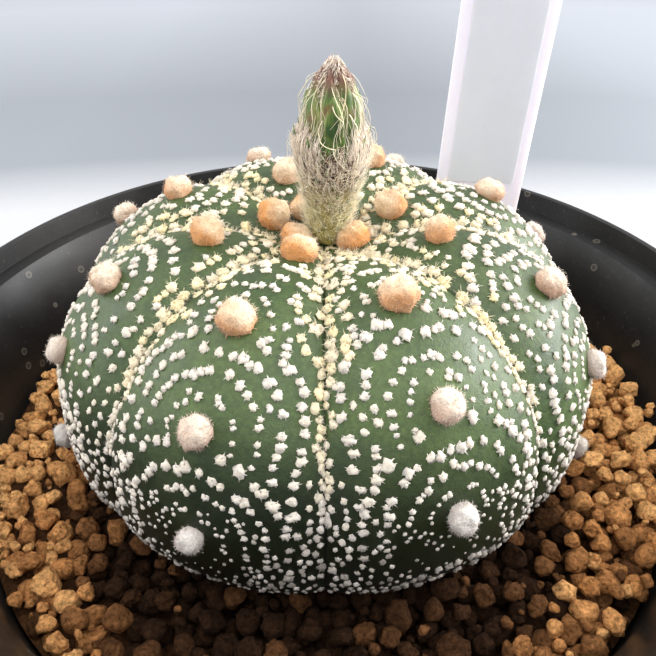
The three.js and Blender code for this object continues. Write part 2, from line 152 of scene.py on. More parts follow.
# The soil's surface before its loose granules, the level that no granule's middle passes, and that level's
# fall along X and Y: the heap lies higher at the right and in front.
BED_Z = EQUATOR_Z - 14.6 * MM
HEAP_TOP = EQUATOR_Z - 10.3 * MM
HEAP_TILT = np.array([-0.04, 0.016])
QUARTERS = ("front", "right", "back", "left")


def linear(red, green, blue):
    """A colour given by its screen values 0 to 255, as scene-linear values."""
    return tuple(((v / 255 + 0.055) / 1.055) ** 2.4 if v > 10 else v / 255 / 12.92 for v in (red, green, blue))


def length(name, description, default):
    """A property that holds a length in metres."""
    return bpy.props.FloatProperty(name=name, description=description, default=default, min=0, unit="LENGTH")


def share(name, description, default, top=1.0):
    """A property that holds a plain factor."""
    return bpy.props.FloatProperty(
        name=name, description=description, default=default, min=0, max=top, subtype="FACTOR"
    )


def colour(name, description, red, green, blue):
    """A property that holds a colour, its default given by screen values."""
    return bpy.props.FloatVectorProperty(
        name=name, description=description, default=linear(red, green, blue), size=3, min=0, max=1, subtype="COLOR"
    )


def count(name, description, default):
    """A property that holds a number of things."""
    return bpy.props.IntProperty(name=name, description=description, default=default, min=0)


# Settings that a user would change


class BodySettings(bpy.types.PropertyGroup):
    """The ribbed body's finish."""

    skin_light: colour("Light skin", "Green of the skin where it bulges", 76, 94, 47)
    skin_dark: colour("Dark skin", "Green of the skin's darker patches", 48, 67, 32)
    # The groove green is painted shade at the bottom of each crease.
    groove: colour("Groove", "Green down in the grooves", 34, 42, 20)
    mound: length("Areole mound", "Height of the swelling that carries each areole", 0.35 * MM)
    roughness: share("Roughness", "How dull the skin is", 0.5)


class WoolSettings(bpy.types.PropertyGroup):
    """The flecks and areoles."""

    fleck: length("Fleck", "Width of a full-grown fleck of wool", 1.5 * MM)
    fleck_gap: length("Row gap", "Distance between neighbouring arches of flecks", 2.45 * MM)
    groove_fleck: length("Groove fleck", "Width of the flecks that line each groove", 1.4 * MM)
    tuft: length("Tuft", "Width of the feathery tufts beside each groove", 2.1 * MM)
    areole: length("Areole", "Width of a full-grown areole", 4.6 * MM)
    felt: count("Felt hairs", "Hairs on one areole", 640)
    white: colour("White wool", "Colour of most flecks", 208, 199, 189)
    # The low wool colour is painted shade on the flecks under the belly.
    shaded: colour("Low wool", "Colour of the flecks low under the belly", 104, 98, 92)
    cream: colour("Cream wool", "Colour of the flecks along the grooves", 232, 214, 168)
    young: colour("Young felt", "Felt near the crown", 208, 148, 90)
    middle: colour("Middle felt", "Felt half-way down the ribs", 196, 158, 132)
    old: colour("Old felt", "Felt at the widest circle", 194, 182, 174)
    # The pile tone makes each areole's top paler: partly its hairs' pale ends, partly painted light.
    pile: colour("Pile", "Pale top of an areole", 228, 202, 168)


class BudSettings(bpy.types.PropertyGroup):
    """The flower bud."""

    scales: count("Scales", "Scales round the bud's tube, each with its tuft of wool", 100)
    tuft_hairs: count("Tuft hairs", "Hairs in one tuft of wool", 40)
    strands: count("Strands", "Long curled hairs over the petals", 66)
    green: colour("Petal green", "Dark stripes of a closed petal", 40, 66, 22)
    pale: colour("Petal edge", "Pale stripes and edges of a closed petal", 134, 142, 84)
    tip: colour("Petal tip", "Withered end of a petal", 104, 68, 52)
    wool: colour("Bud wool", "Hairs on the tube", 255, 240, 208)
    low_wool: colour("Low wool", "Hairs at the tube's foot", 244, 236, 188)
    strand: colour("Long hairs", "Long curled hairs", 244, 230, 196)


class SoilSettings(bpy.types.PropertyGroup):
    """The clay granules."""

    granules: count("Granules", "Granules dropped on the bed", 1180)
    crumbs: count("Crumbs", "Small crumbs dropped last", 480)
    size: length("Granule", "Width of a middling granule", 3.0 * MM)
    # The darkest and palest tones also carry painted shade and painted light, set per granule by its place.
    dark: colour("Dark and shaded clay", "Darkest granules", 116, 78, 48)
    middle: colour("Clay", "Most granules", 204, 142, 86)
    light: colour("Pale and lit clay", "Palest granules", 248, 188, 122)


class PotSettings(bpy.types.PropertyGroup):
    """The pot's finish."""

    plastic: colour("Plastic", "Black of the moulded plastic", 14, 15, 17)
    dust: colour("Dust", "Dried drops and dust on the plastic", 140, 132, 118)
    roughness: share("Roughness", "How dull the plastic is", 0.38)


class LabelSettings(bpy.types.PropertyGroup):
    """The plant label's finish."""

    thickness: length("Thickness", "Thickness of the label", 1.0 * MM)
    plastic: colour("Plastic", "White of the label", 226, 224, 236)
    strip: colour("Strip", "White of the blank strip stuck on it", 250, 246, 250)


class StageSettings(bpy.types.PropertyGroup):
    """The floor and the light."""

    # The floor's tones hold painted shade: greyer half-way to the far end.
    floor: colour("Floor", "Pale floor far from the pot", 157, 161, 169)
    floor_middle: colour("Floor middle", "Pale floor half-way to the far end", 117, 121, 127)
    floor_near: colour("Floor near", "Pale floor close to the pot", 160, 161, 164)
    sky: colour("Sky", "Soft light from all round", 244, 244, 244)
    sky_strength: share("Sky strength", "Strength of the light from all round", 2.0, 10)
    room: share("Room", "Share of the light that comes from the front", 0.3)
    back: share("Back", "Share of the light that comes from behind", 0.5)
    key_power: share("Key power", "Watts of the lamp above", 2.6, 100)
    front_power: share("Front power", "Watts of the high lamp in front", 4.2, 100)
    window_power: share("Window power", "Watts of the lamp at the right", 13.5, 100)
    side_power: share("Side power", "Watts of the lamp at the left", 3.0, 100)


GROUPS = {
    "cactus_body": BodySettings,
    "cactus_wool": WoolSettings,
    "cactus_bud": BudSettings,
    "cactus_soil": SoilSettings,
    "cactus_pot": PotSettings,
    "cactus_label": LabelSettings,
    "cactus_stage": StageSettings,
}


# Making and finishing meshes


def begin(name, primitive, **settings):
    """Adds a primitive on its own, with nothing else selected, and names it."""
    bpy.ops.object.select_all(action="DESELECT")
    primitive(**settings)
    piece = bpy.context.active_object
    piece.name = name
    piece.data.name = name
    return piece


def finish_modifiers(piece):
    """Applies every modifier of the active piece, in order."""
    for modifier in list(piece.modifiers):
        bpy.ops.object.modifier_apply(modifier=modifier.name)


class Editing:
    """Edit mode on the active piece, with all of it selected, or only its faces or edges that pass a test."""

    def __init__(self, kind="FACE", wanted=None):
        self.kind, self.wanted = kind, wanted

    def __enter__(self):
        if self.wanted:
            bpy.ops.object.mode_set(mode="EDIT")
            bpy.ops.mesh.select_mode(type=self.kind)
            bpy.ops.mesh.select_all(action="DESELECT")
            bpy.ops.object.mode_set(mode="OBJECT")
            mesh = bpy.context.active_object.data
            for element in mesh.polygons if self.kind == "FACE" else mesh.edges:
                element.select = self.wanted(element)
        bpy.ops.object.mode_set(mode="EDIT")
        if not self.wanted:
            bpy.ops.mesh.select_all(action="SELECT")

    def __exit__(self, *error):
        bpy.ops.object.mode_set(mode="OBJECT")


def close_seams():
    """Merges the active mesh's doubled corners and points its faces outwards."""
    with Editing():
        bpy.ops.mesh.remove_doubles(threshold=1e-6)
        bpy.ops.mesh.normals_make_consistent(inside=False)


def close_holes():
    """Fills the open ends of the active turned form and points its faces outwards."""
    with Editing():
        bpy.ops.mesh.fill_holes(sides=0)
    close_seams()
    bpy.ops.object.shade_smooth_by_angle(angle=math.radians(40))


def soften(piece, width, angle):
    """Applies the active piece's modifiers, then bevels its edges past an angle in degrees."""
    bevel = piece.modifiers.new("soft_edges", "BEVEL")
    bevel.width = width
    bevel.segments = 2
    bevel.limit_method = "ANGLE"
    bevel.angle_limit = math.radians(angle)
    finish_modifiers(piece)


def displace(piece, name, size, strength):
    """Pushes the active piece's surface in and out by a cloud pattern."""
    texture = bpy.data.textures.new(name, "CLOUDS")
    texture.noise_scale = size
    push = piece.modifiers.new(name, "DISPLACE")
    push.texture = texture
    push.strength = strength
    finish_modifiers(piece)


def take_shape(piece):
    """The corners and triangles of a modelled piece, which is removed: its copies are made from them."""
    mesh = piece.data
    mesh.calc_loop_triangles()
    corners = np.array([corner.co for corner in mesh.vertices])
    faces = np.array([triangle.vertices for triangle in mesh.loop_triangles])
    bpy.data.objects.remove(piece)
    bpy.data.meshes.remove(mesh)
    return corners, faces


def merged(name, parts, smooth=True):
    """One object from parts, each given by corners, triangles and a tint kept on its corners."""
    corners, faces, tints, start = [], [], [], 0
    for part_corners, part_faces, tint in parts:
        corners.append(part_corners)
        faces.append(part_faces + start)
        tints.append(np.broadcast_to(tint, len(part_corners)))
        start += len(part_corners)
    mesh = bpy.data.meshes.new(name)
    mesh.from_pydata(np.concatenate(corners), [], np.concatenate(faces))
    mesh.polygons.foreach_set("use_smooth", np.full(len(mesh.polygons), smooth))
    mesh.update()
    piece = bpy.data.objects.new(name, mesh)
    keep(piece, "tint", np.concatenate(tints))
    bpy.context.scene.collection.objects.link(piece)
    return piece


def keep(piece, name, values):
    """Keeps a number on each corner of a piece's mesh."""
    piece.data.attributes.new(name, "FLOAT", "POINT").data.foreach_set("value", np.asarray(values, np.float32))


def placed(shape, size, turn, point):
    """A shape's corners and triangles, sized, turned by a matrix and moved to a point."""
    corners, faces = shape
    return (corners * np.asarray(size)) @ np.asarray(turn).T + np.asarray(point), faces


def hand_over(piece, slot, material, *nodes):
    """Gives a finished piece its material and its body, and hides the part's nodes that it stands for; the slot is
    not used.
    """
    piece.data.materials.clear()
    piece.data.materials.append(material)
    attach(piece, BODY)
    if nodes:
        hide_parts(*nodes)


def strands(paths, widths, taper=0.4):
    """Three-sided hairs along paths with equal numbers of points, each thinning to a point."""
    paths = np.asarray(paths, float)
    hairs, steps, _ = paths.shape
    along = np.gradient(paths, axis=1)
    along /= np.linalg.norm(along, axis=2, keepdims=True) + 1e-12
    upright = np.abs(along[:, :1, 2:]) > 0.85
    side = np.cross(along, np.where(upright, (1.0, 0.0, 0.0), (0.0, 0.0, 1.0)))
    side /= np.linalg.norm(side, axis=2, keepdims=True) + 1e-12
    out = np.cross(along, side)
    rings = steps - 1
    radius = np.asarray(widths)[:, None] / 2 * np.linspace(1, taper, rings)
    angle = np.arange(3) * TURN / 3
    spoke = side[:, :rings, None] * np.cos(angle)[:, None] + out[:, :rings, None] * np.sin(angle)[:, None]
    ring = paths[:, :rings, None] + radius[:, :, None, None] * spoke
    corners = np.concatenate([ring.reshape(hairs, rings * 3, 3), paths[:, -1:]], axis=1)
    foot, sides, point = [(2, 1, 0)], [], []
    for a, b in ((0, 1), (1, 2), (2, 0)):
        point.append(((rings - 1) * 3 + a, (rings - 1) * 3 + b, rings * 3))
    for row in range(0, (rings - 1) * 3, 3):
        for a, b in ((row, row + 1), (row + 1, row + 2), (row + 2, row)):
            sides += [(a, b, b + 3), (a, b + 3, a + 3)]
    one = np.array(foot + sides + point)
    faces = (np.arange(hairs)[:, None, None] * (rings * 3 + 1) + one).reshape(-1, 3)
    return corners.reshape(-1, 3), faces


def tinted(paths, widths, tints, taper=0.4):
    """Hairs as one part, each with its own tint."""
    corners, faces = strands(paths, widths, taper)
    return corners, faces, np.repeat(np.clip(tints, 0, 1), len(corners) // len(paths))


def turned(name, profile, segments):
    """A form turned about the Z axis, drawn out ring by ring along a profile of radius and height."""
    radius, height = profile[0]
    spot = (0, 0, height)
    piece = begin(name, bpy.ops.mesh.primitive_circle_add, vertices=segments, radius=radius, location=spot)
    bpy.ops.object.transform_apply(location=True, rotation=False, scale=False)
    with Editing():
        for next_radius, next_height in profile[1:]:
            factor = next_radius / radius
            bpy.ops.mesh.extrude_edges_move(TRANSFORM_OT_translate={"value": (0, 0, next_height - height)})
            bpy.ops.transform.resize(value=(factor, factor, 1), center_override=(0, 0, next_height))
            radius, height = next_radius, next_height
    return piece


# Materials


def add(tree, kind, values=None, **settings):
    """Adds a node, sets its properties, and gives its inputs values or links."""
    made = tree.nodes.new(kind)
    for name, value in settings.items():
        setattr(made, name, value)
    for name, value in (values or {}).items():
        if isinstance(value, bpy.types.NodeSocket):
            tree.links.new(value, made.inputs[name])
        else:
            made.inputs[name].default_value = value
    return made


def new_material(name, roughness, specular, sheen=0.0, subsurface=0.0, scatter=0.6 * MM):
    """A material with its shader's plain numbers set; gives its tree and its shader."""
    material = bpy.data.materials.new(name)
    material.use_nodes = True
    tree = material.node_tree
    shader = tree.nodes["Principled BSDF"]
    plain = {"Roughness": roughness, "Specular IOR Level": specular, "Sheen Weight": sheen}
    if subsurface:
        glow = {"Subsurface Weight": subsurface, "Subsurface Scale": scatter, "Subsurface Radius": (1.0, 0.8, 0.6)}
        plain.update(glow)
    for socket, value in plain.items():
        shader.inputs[socket].default_value = value
    return material, tree, shader


def object_place(tree):
    """The Object coordinates, from one node per material."""
    found = [node for node in tree.nodes if node.type == "TEX_COORD"]
    return (found[0] if found else tree.nodes.new("ShaderNodeTexCoord")).outputs["Object"]


def cloud(tree, size, detail, roughness=0.5, stretch=None):
    """Noise whose blobs are about a size across, in metres."""
    place = object_place(tree)
    if stretch:
        place = add(tree, "ShaderNodeMapping", {"Vector": place, "Scale": stretch}).outputs["Vector"]
    values = {"Vector": place, "Scale": 0.5 / size, "Detail": detail, "Roughness": roughness}
    return add(tree, "ShaderNodeTexNoise", values).outputs["Fac"]


def cells(tree, size, feature="F1"):
    """Distance within a cell pattern with cells about a size across, in metres."""
    values = {"Vector": object_place(tree), "Scale": 1 / size}
    return add(tree, "ShaderNodeTexVoronoi", values, feature=feature).outputs["Distance"]


def ramp(tree, factor, *stops):
    """Colours or greys placed along a factor."""
    node = add(tree, "ShaderNodeValToRGB", {"Fac": factor})
    points = node.color_ramp.elements
    while len(points) < len(stops):
        points.new(1.0)
    for point, (place, value) in zip(points, stops):
        point.position = place
        point.color = (value, value, value, 1) if isinstance(value, (int, float)) else (*value, 1)
    return node.outputs["Color"]


def mix(tree, factor, first, second, kind="MIX"):
    """Two colours mixed by a factor."""
    node = tree.nodes.new("ShaderNodeMix")
    node.data_type = "RGBA"
    node.blend_type = kind
    for index, value in ((0, factor), (6, first), (7, second)):
        if isinstance(value, bpy.types.NodeSocket):
            tree.links.new(value, node.inputs[index])
        else:
            node.inputs[index].default_value = value if index == 0 else (*value, 1)
    return node.outputs[2]


def times(tree, tone, *factors):
    """A colour multiplied by each of some colours or greys."""
    for factor in factors:
        tone = mix(tree, 1.0, tone, factor, "MULTIPLY")
    return tone


def math_node(tree, operation, first, second, clamp=False):
    """A sum, product or other step between two numbers."""
    return add(tree, "ShaderNodeMath", {0: first, 1: second}, operation=operation, use_clamp=clamp).outputs[0]


def up_the_bud(tree, first, last):
    """The share of the way between two heights over the bud's foot."""
    height = add(tree, "ShaderNodeSeparateXYZ", {"Vector": object_place(tree)}).outputs["Z"]
    values = {"Value": height, "From Min": BUD_FOOT.z + first, "From Max": BUD_FOOT.z + last}
    return add(tree, "ShaderNodeMapRange", values).outputs["Result"]


def attribute(tree, name):
    """A number kept on the mesh's corners."""
    return add(tree, "ShaderNodeAttribute", attribute_name=name).outputs["Fac"]


def relief(tree, shader, height, depth, strength, below=None):
    """Bumps of a depth in metres, on top of any bumps below."""
    values = {"Height": height, "Distance": depth, "Strength": strength}
    if below is not None:
        values["Normal"] = below
    normal = add(tree, "ShaderNodeBump", values).outputs["Normal"]
    paint(tree, shader, normal, "Normal")
    return normal


def paint(tree, shader, value, socket="Base Color"):
    """Links a colour or a number to one of the shader's inputs."""
    tree.links.new(value, shader.inputs[socket])


# The body's form


def outline(place):
    """Radius and height of the crests' outline at places along a rib."""
    place = np.asarray(place, float)
    angle = place * math.pi / 2
    upper = place <= 1
    power = np.where(upper, 2 / CROWN_POWER, 2 / UNDER_POWER)
    height = np.where(upper, CROWN_HEIGHT, -UNDER_DEPTH)
    radius = BODY_R * np.abs(np.sin(angle)) ** power
    dip = np.where(upper, DIP_DEPTH * np.exp(-((radius / DIP_R) ** 2)), 0)
    return radius, EQUATOR_Z + height * np.abs(np.cos(angle)) ** power - dip


def outline_normal(place):
    """The direction out of the crests' outline, as its radial and its upright share."""
    place = np.asarray(place, float)
    ahead, behind = outline(place + 0.01), outline(np.maximum(place - 0.01, 0))
    out, up = -(ahead[1] - behind[1]), ahead[0] - behind[0]
    size = np.hypot(out, up)
    return out / size, up / size


def across_rib(azimuth):
    """Distance across a rib at azimuths: 0 on its crest and 1 in the groove beside it."""
    rib_turn = azimuth * RIBS / TURN
    return 2 * np.abs(rib_turn - np.floor(rib_turn) - 0.5)


def on_skin(azimuth, place, lift=0.0, mounds=True):
    """Points on the skin at azimuths and places; azimuth 0 faces -Y and grows towards +X."""
    azimuth, place = np.broadcast_arrays(np.asarray(azimuth, float), np.asarray(place, float))
    radius, height = outline(place)
    out, up = outline_normal(place)
    across = across_rib(azimuth)
    depth = np.interp(place, GROOVE_THINNING, (GROOVE_DEPTH, LOW_GROOVE_DEPTH)) * (radius / BODY_R) ** 0.6
    raise_by = lift - depth * across ** np.interp(place, GROOVE_THINNING, (GROOVE_SHARPNESS, LOW_GROOVE_SHARPNESS))
    crease = CREASE_DEPTH * np.clip((across - CREASE_START) / (1 - CREASE_START), 0, 1)
    raise_by = raise_by - crease * np.clip(radius / DIP_R, 0, 1)
    side = np.stack([np.sin(azimuth), -np.cos(azimuth)], axis=-1)
    flat = (radius + out * raise_by)[..., None] * side
    points = np.concatenate([flat, (height + up * raise_by)[..., None]], axis=-1)
    if not mounds:
        return points
    away = ((points[..., None, :] - AREOLE_SPOTS) ** 2).sum(-1)
    mound = bpy.context.scene.cactus_body.mound * np.exp(-away / (3.4 * MM) ** 2).sum(-1)
    direction = np.concatenate([out[..., None] * side, up[..., None]], axis=-1)
    return points + mound[..., None] * direction


def crest_turn(rib, across=0.0):
    """The azimuth of a place across a rib; ribs are numbered round from the one at the front right."""
    return (rib + 0.5 + np.asarray(across) / 2) * TURN / RIBS


def areole_list():
    """Every areole, as its rib and its place along it."""
    found = []
    for rib in range(RIBS):
        place = AREOLE_FIRST[rib]
        while place < AREOLE_LAST:
            found.append((rib, place))
            place += AREOLE_STEP[rib]
    return found + list(YOUNG_AREOLES)


AREOLES = areole_list()
AREOLE_SPOTS = np.array([on_skin(crest_turn(rib), place, mounds=False) for rib, place in AREOLES])

# Distance along a crest from the crown, by place.
PLACES = np.linspace(0.0, 1.3, 1301)
CREST = np.stack(outline(PLACES), axis=1)
CREST_RUN = np.concatenate([[0], np.cumsum(np.linalg.norm(np.diff(CREST, axis=0), axis=1))])


def run_of(place):
    """Distance along a crest from the crown to a place."""
    return float(np.interp(place, PLACES, CREST_RUN))


def place_of(run):
    """The place at a distance along a crest from the crown."""
    return np.interp(run, CREST_RUN, PLACES)


def half_rib(place):
    """Half a rib's width at a place, measured round the crests' outline."""
    return outline(place)[0] * TURN / RIBS / 2


def skin_frames(azimuths, places):
    """Points on the skin with the matrices that turn +Z outwards and +Y towards the crown."""
    azimuths, places = np.asarray(azimuths, float), np.asarray(places, float)
    step = 0.004
    points = on_skin(azimuths, places)
    down = on_skin(azimuths, places + step) - on_skin(azimuths, np.maximum(places - step, 0.001))
    round_step = 0.2 * MM / np.maximum(outline(places)[0], MM)
    right = on_skin(azimuths + round_step, places) - on_skin(azimuths - round_step, places)
    up = -down / np.linalg.norm(down, axis=-1, keepdims=True)
    out = np.cross(right, up)
    out /= np.linalg.norm(out, axis=-1, keepdims=True)
    side = np.cross(up, out)
    return points, np.stack([side, up, out], axis=-1)


# The camera


class STAR_CACTUS_OT_camera(bpy.types.Operator):
    """Adds the camera: close in front of the pot and looking down on the body"""

    bl_idname = "star_cactus.camera"
    bl_label = "Camera"

    def execute(self, context):
        """Places the camera and makes it the scene's."""
        bpy.ops.object.select_all(action="DESELECT")
        bpy.ops.object.camera_add(location=EYE)
        camera = context.active_object
        camera.name = "camera"
        tilt = Matrix.Rotation(math.pi / 2 - LOOK_DOWN, 4, "X") @ Matrix.Rotation(ROLL, 4, "Z")
        camera.matrix_world = Matrix.Translation(EYE) @ tilt
        camera.data.lens = FOCAL_LENGTH
        camera.data.sensor_width = SENSOR_WIDTH
        camera.data.shift_x = SHIFT_PIXELS / PICTURE_SIDE
        camera.data.clip_start = 5 * MM
        context.scene.camera = camera
        return {"FINISHED"}


# The body's skin


def skin_material(settings):
    """Satin green skin, mottled and finely pebbled, with painted shade: darker in the grooves' creases and darker
    low down, most at the front.
    """
    material, tree, shader = new_material("cactus_skin", settings.roughness, 0.42)
    tone = ramp(tree, cloud(tree, 5 * MM, 5, 0.62), (0.34, settings.skin_dark), (0.68, settings.skin_light))
    freckle = ramp(tree, cloud(tree, 0.3 * MM, 3, 0.6), (0.35, 0.72), (0.7, 1.16))
    speck = ramp(tree, cells(tree, 0.6 * MM), (0.1, 1.45), (0.17, 1.0))
    # Painted shade: the skin turns to the groove green at the very bottom of each crease.
    deep = ramp(tree, attribute(tree, "tint"), (0.982, 0.0), (1.0, 1.0))
    tone = mix(tree, deep, times(tree, tone, freckle, speck), settings.groove)
    # Painted shade: the skin darkens towards the bottom by its 'low' number.
    lower = ramp(tree, attribute(tree, "low"), (0.1, 0.8), (0.45, 1.0), (0.6, 1.0), (0.8, 0.26), (1.0, 0.06))
    paint(tree, shader, times(tree, tone, lower))
    dull = ramp(tree, cloud(tree, 2.5 * MM, 3), (0.3, settings.roughness - 0.06), (0.7, settings.roughness + 0.1))
    paint(tree, shader, dull, "Roughness")
    fine = relief(tree, shader, cells(tree, 0.24 * MM), 0.035 * MM, 0.7)
    relief(tree, shader, cloud(tree, 1.4 * MM, 5, 0.6), 0.14 * MM, 0.7, fine)
    return material


def crowd_to_grooves(azimuth):
    """Moves evenly spread azimuths towards the grooves, so that a crease is drawn finely."""
    rib_turn = azimuth * RIBS / TURN
    from_crest = rib_turn - np.floor(rib_turn) - 0.5
    across = 1 - (1 - np.minimum(2 * np.abs(from_crest), 1)) ** 1.5
    return (np.floor(rib_turn) + 0.5 + np.sign(from_crest) * across / 2) * TURN / RIBS


def root_points(azimuth, row):
    """Points of the taproot's skin, for the rows of the net past the body's last one."""
    neck = on_skin(0.4, ROOT_PLACE)
    path = [(math.hypot(*neck[:2]), neck[2])]
    path += [(radius * MM, EQUATOR_Z + height * MM) for radius, height in ROOT_PATH]
    path.append((0, EQUATOR_Z + ROOT_TIP))
    below = np.maximum(row - ROOT_ROW, 0) / (SKIN_ROWS - ROOT_ROW) * (len(path) - 1)
    radius, height = (np.interp(below, range(len(path)), column) for column in zip(*path))
    return np.stack([radius * np.sin(azimuth), -radius * np.cos(azimuth), height], axis=1)


def unevenness(point):
    """How far the skin stands out at a point, in its faint waves and finer ripples."""
    point = Vector(point)
    return (noise.noise(point * 260) + 0.5 * noise.noise(point * 700)) * 0.09 * MM


class STAR_CACTUS_OT_skin(bpy.types.Operator):
    """Presses a ball's net into the eight-ribbed body, with its root below"""

    bl_idname = "star_cactus.skin"
    bl_label = "Body skin"

    def execute(self, context):
        """Builds the skin in place of the part's plain body."""
        columns = RIBS * SKIN_COLUMNS
        piece = begin("cactus_skin", bpy.ops.mesh.primitive_uv_sphere_add, segments=columns, ring_count=SKIN_ROWS)
        mesh = piece.data
        ball = np.array([corner.co for corner in mesh.vertices])
        outward = ball / np.linalg.norm(ball, axis=1, keepdims=True)
        azimuth = crowd_to_grooves(np.arctan2(ball[:, 0], -ball[:, 1]))
        row = np.arccos(np.clip(outward[:, 2], -1, 1)) / math.pi * SKIN_ROWS
        place = np.clip(row / ROOT_ROW, 0, 1) * ROOT_PLACE
        points = np.where((row > ROOT_ROW + 0.5)[:, None], root_points(azimuth, row), on_skin(azimuth, place))
        points += outward * np.array([unevenness(point) for point in points])[:, None]
        mesh.vertices.foreach_set("co", points.astype(np.float32).ravel())
        keep(piece, "tint", np.where(row > ROOT_ROW, 0.0, across_rib(azimuth)))
        # Painted shade: 'low' grows with the place down the rib, less at the sides and least at the right, where
        # more light falls.
        aside = np.sin(azimuth)
        keep(piece, "low", place - np.where(aside > 0, 0.45, 0.12) * aside**2)
        mesh.update()
        bpy.ops.object.shade_smooth()
        close_seams()
        hand_over(piece, "cactus_skin", skin_material(context.scene.cactus_body), "cactus_body")
        return {"FINISHED"}


# The flecks of wool

# The farthest across a rib and the first and last place where wool grows, the bare skin round an areole's
# middle, and the hairs of a feathery tuft.
GROOVE_EDGE = 0.994
CROWN_EDGE = 0.018
WOOL_END = 1.16
AREOLE_CLEARANCE = 2.5 * MM
TUFT_HAIRS = 10

# The first arch's distance from its areole's middle, the last one's, and the room left between two areoles' arches.
FIRST_ARCH = 3.9 * MM
LAST_ARCH = 15.3 * MM
ARCH_GAP = 1.6 * MM

# How many fleck shapes there are, and tries on each rib at crown tufts, stray flecks, low ones and tiny ones.
FLECK_SHAPES = 20
CROWN_TUFTS = 26
STRAY_FLECKS = 900
LOW_FLECKS = 400
TINY_FLECKS = 60
FLECK_SEED = 5
RIB_SEED = 100


def wool_material(settings):
    """Matt wool, white on most flecks and cream along the grooves, by its tint, which also carries painted shade
    that makes the flecks darker low down.
    """
    material, tree, shader = new_material("fleck_wool", 0.95, 0.05, sheen=0.12, subsurface=0.25)
    stops = ((0.0, settings.shaded), (0.25, settings.white), (1.0, settings.cream))
    tone = ramp(tree, attribute(tree, "tint"), *stops)
    shade = ramp(tree, cloud(tree, 0.2 * MM, 3, 0.6), (0.3, 0.86), (0.66, 1.06))
    paint(tree, shader, times(tree, tone, shade))
    relief(tree, shader, cloud(tree, 0.1 * MM, 3, 0.6), 0.06 * MM, 1.0)
    return material


def spikes(draw, number, width):
    """Short tapering wisps that stand out of a unit fleck's upper half, evenly spread."""
    paths, widths = [], []
    for index in range(number):
        turn, up = index * GOLDEN_TURN + draw.gauss(0, 0.3), draw.uniform(-0.08, 0.16) + 0.9 * index / number
        flat = math.sqrt(max(0.0, 1 - up * up))
        way = np.array([flat * math.cos(turn), flat * math.sin(turn), up])
        bend = np.array([draw.gauss(0, 0.07), draw.gauss(0, 0.07), draw.gauss(0, 0.03)])
        paths.append([way * 0.22, way * draw.uniform(0.48, 0.58) + bend])
        widths.append(width * draw.uniform(0.8, 1.2))
    return strands(paths, widths)


def fleck_shape(number, draw):
    """One fleck a unit wide: a low matted dome, ragged all over with wisps."""
    piece = begin("fleck_shape", bpy.ops.mesh.primitive_ico_sphere_add, subdivisions=2, radius=0.38)
    with Editing():
        bpy.ops.transform.vertex_random(offset=0.15, uniform=0.0, normal=0.85, seed=number)
        bpy.ops.mesh.bisect(plane_co=(0, 0, -0.1), plane_no=(0, 0, 1), use_fill=True, clear_inner=True)
    dome, faces = take_shape(piece)
    wisps, wisp_faces = spikes(draw, 8, 0.19)
    return np.concatenate([dome, wisps]), np.concatenate([faces, wisp_faces + len(dome)])


def fleck_size(place, distance, settings):
    """Width of a fleck by its place along a rib and its distance from the areole's line."""
    by_place = np.interp(place, (0.1, 0.45, 0.65, 0.8, 0.95, 1.15), (1.0, 1.02, 1.05, 1.12, 1.0, 0.78))
    near = np.interp(place, (0.4, 0.85), (0.76, 0.4))
    by_distance = np.interp(distance, (3 * MM, 6.5 * MM, 11 * MM), (near, 0.3 + 0.7 * near, 1.0))
    return settings.fleck * float(by_place * by_distance)


class FleckBook:
    """The flecks planned on one rib; it refuses one that would lie on another or on an areole."""

    def __init__(self, rib, areoles, draw):
        self.rib, self.draw = rib, draw
        self.growth = 1.05 + 0.2 * (1 - max(0.0, math.cos(crest_turn(rib))))
        self.spots = np.array([on_skin(crest_turn(rib), place) for place in areoles])
        self.points, self.sizes, self.rows = [], [], []

    def put(self, across, place, size, cream, hairs, crowding, long=1.25):
        """Plans one fleck, so many times as long as wide, unless its place is taken."""
        if abs(across) > GROOVE_EDGE or not CROWN_EDGE < place < WOOL_END:
            return
        size *= self.growth if hairs < TUFT_HAIRS else 1.0
        azimuth = float(crest_turn(self.rib, across))
        point = on_skin(azimuth, place, mounds=False)
        bare = AREOLE_CLEARANCE + size / 2
        if len(self.spots) and (((self.spots - point) ** 2).sum(1) < bare**2).any():
            return
        if self.points:
            reach = (np.array(self.sizes) + size) / 2 * crowding
            if (((np.array(self.points) - point) ** 2).sum(1) < reach**2).any():
                return
        self.points.append(point)
        self.sizes.append(size)
        self.rows.append((azimuth, place, size, cream, hairs, long))


def arch_run(book, top, distance, side, until, settings):
    """Walks one side of an arch of flecks, from over an areole down along the flank."""
    draw = book.draw
    travelled = draw.uniform(0.2, 1.6) * MM
    chain = draw.randint(2, 5)
    quarter = distance * math.pi / 2
    while travelled < quarter + 45 * MM:
        bend = min(travelled / distance, math.pi / 2)
        aside = distance * math.sin(bend)
        run = top - distance * math.cos(bend) + max(travelled - quarter, 0)
        place = float(place_of(run))
        across = aside / half_rib(place) if place > 0.02 else 2
        if run > until(aside) or (1 - across) * half_rib(place) < MM or place > 1.14:
            break
        size = fleck_size(place, distance, settings) * draw.uniform(0.78, 1.2)
        jitter = draw.gauss(0, 0.18 * MM) / half_rib(place)
        cream = 0.2 * draw.random() + max(0.0, 0.4 - place) * 0.8
        hairs = 4 if place < 0.5 and draw.random() < 0.4 else 0
        long = 1.2 - 0.42 * bend / (math.pi / 2)
        book.put(side * (across + jitter), place + draw.gauss(0, 0.005), size, cream, hairs, 0.6, long)
        chain -= 1
        travelled += size * draw.uniform(0.66, 0.8)
        if chain <= 0:
            travelled += draw.uniform(0.3, 1.5) * MM
            chain = draw.randint(1, 6)


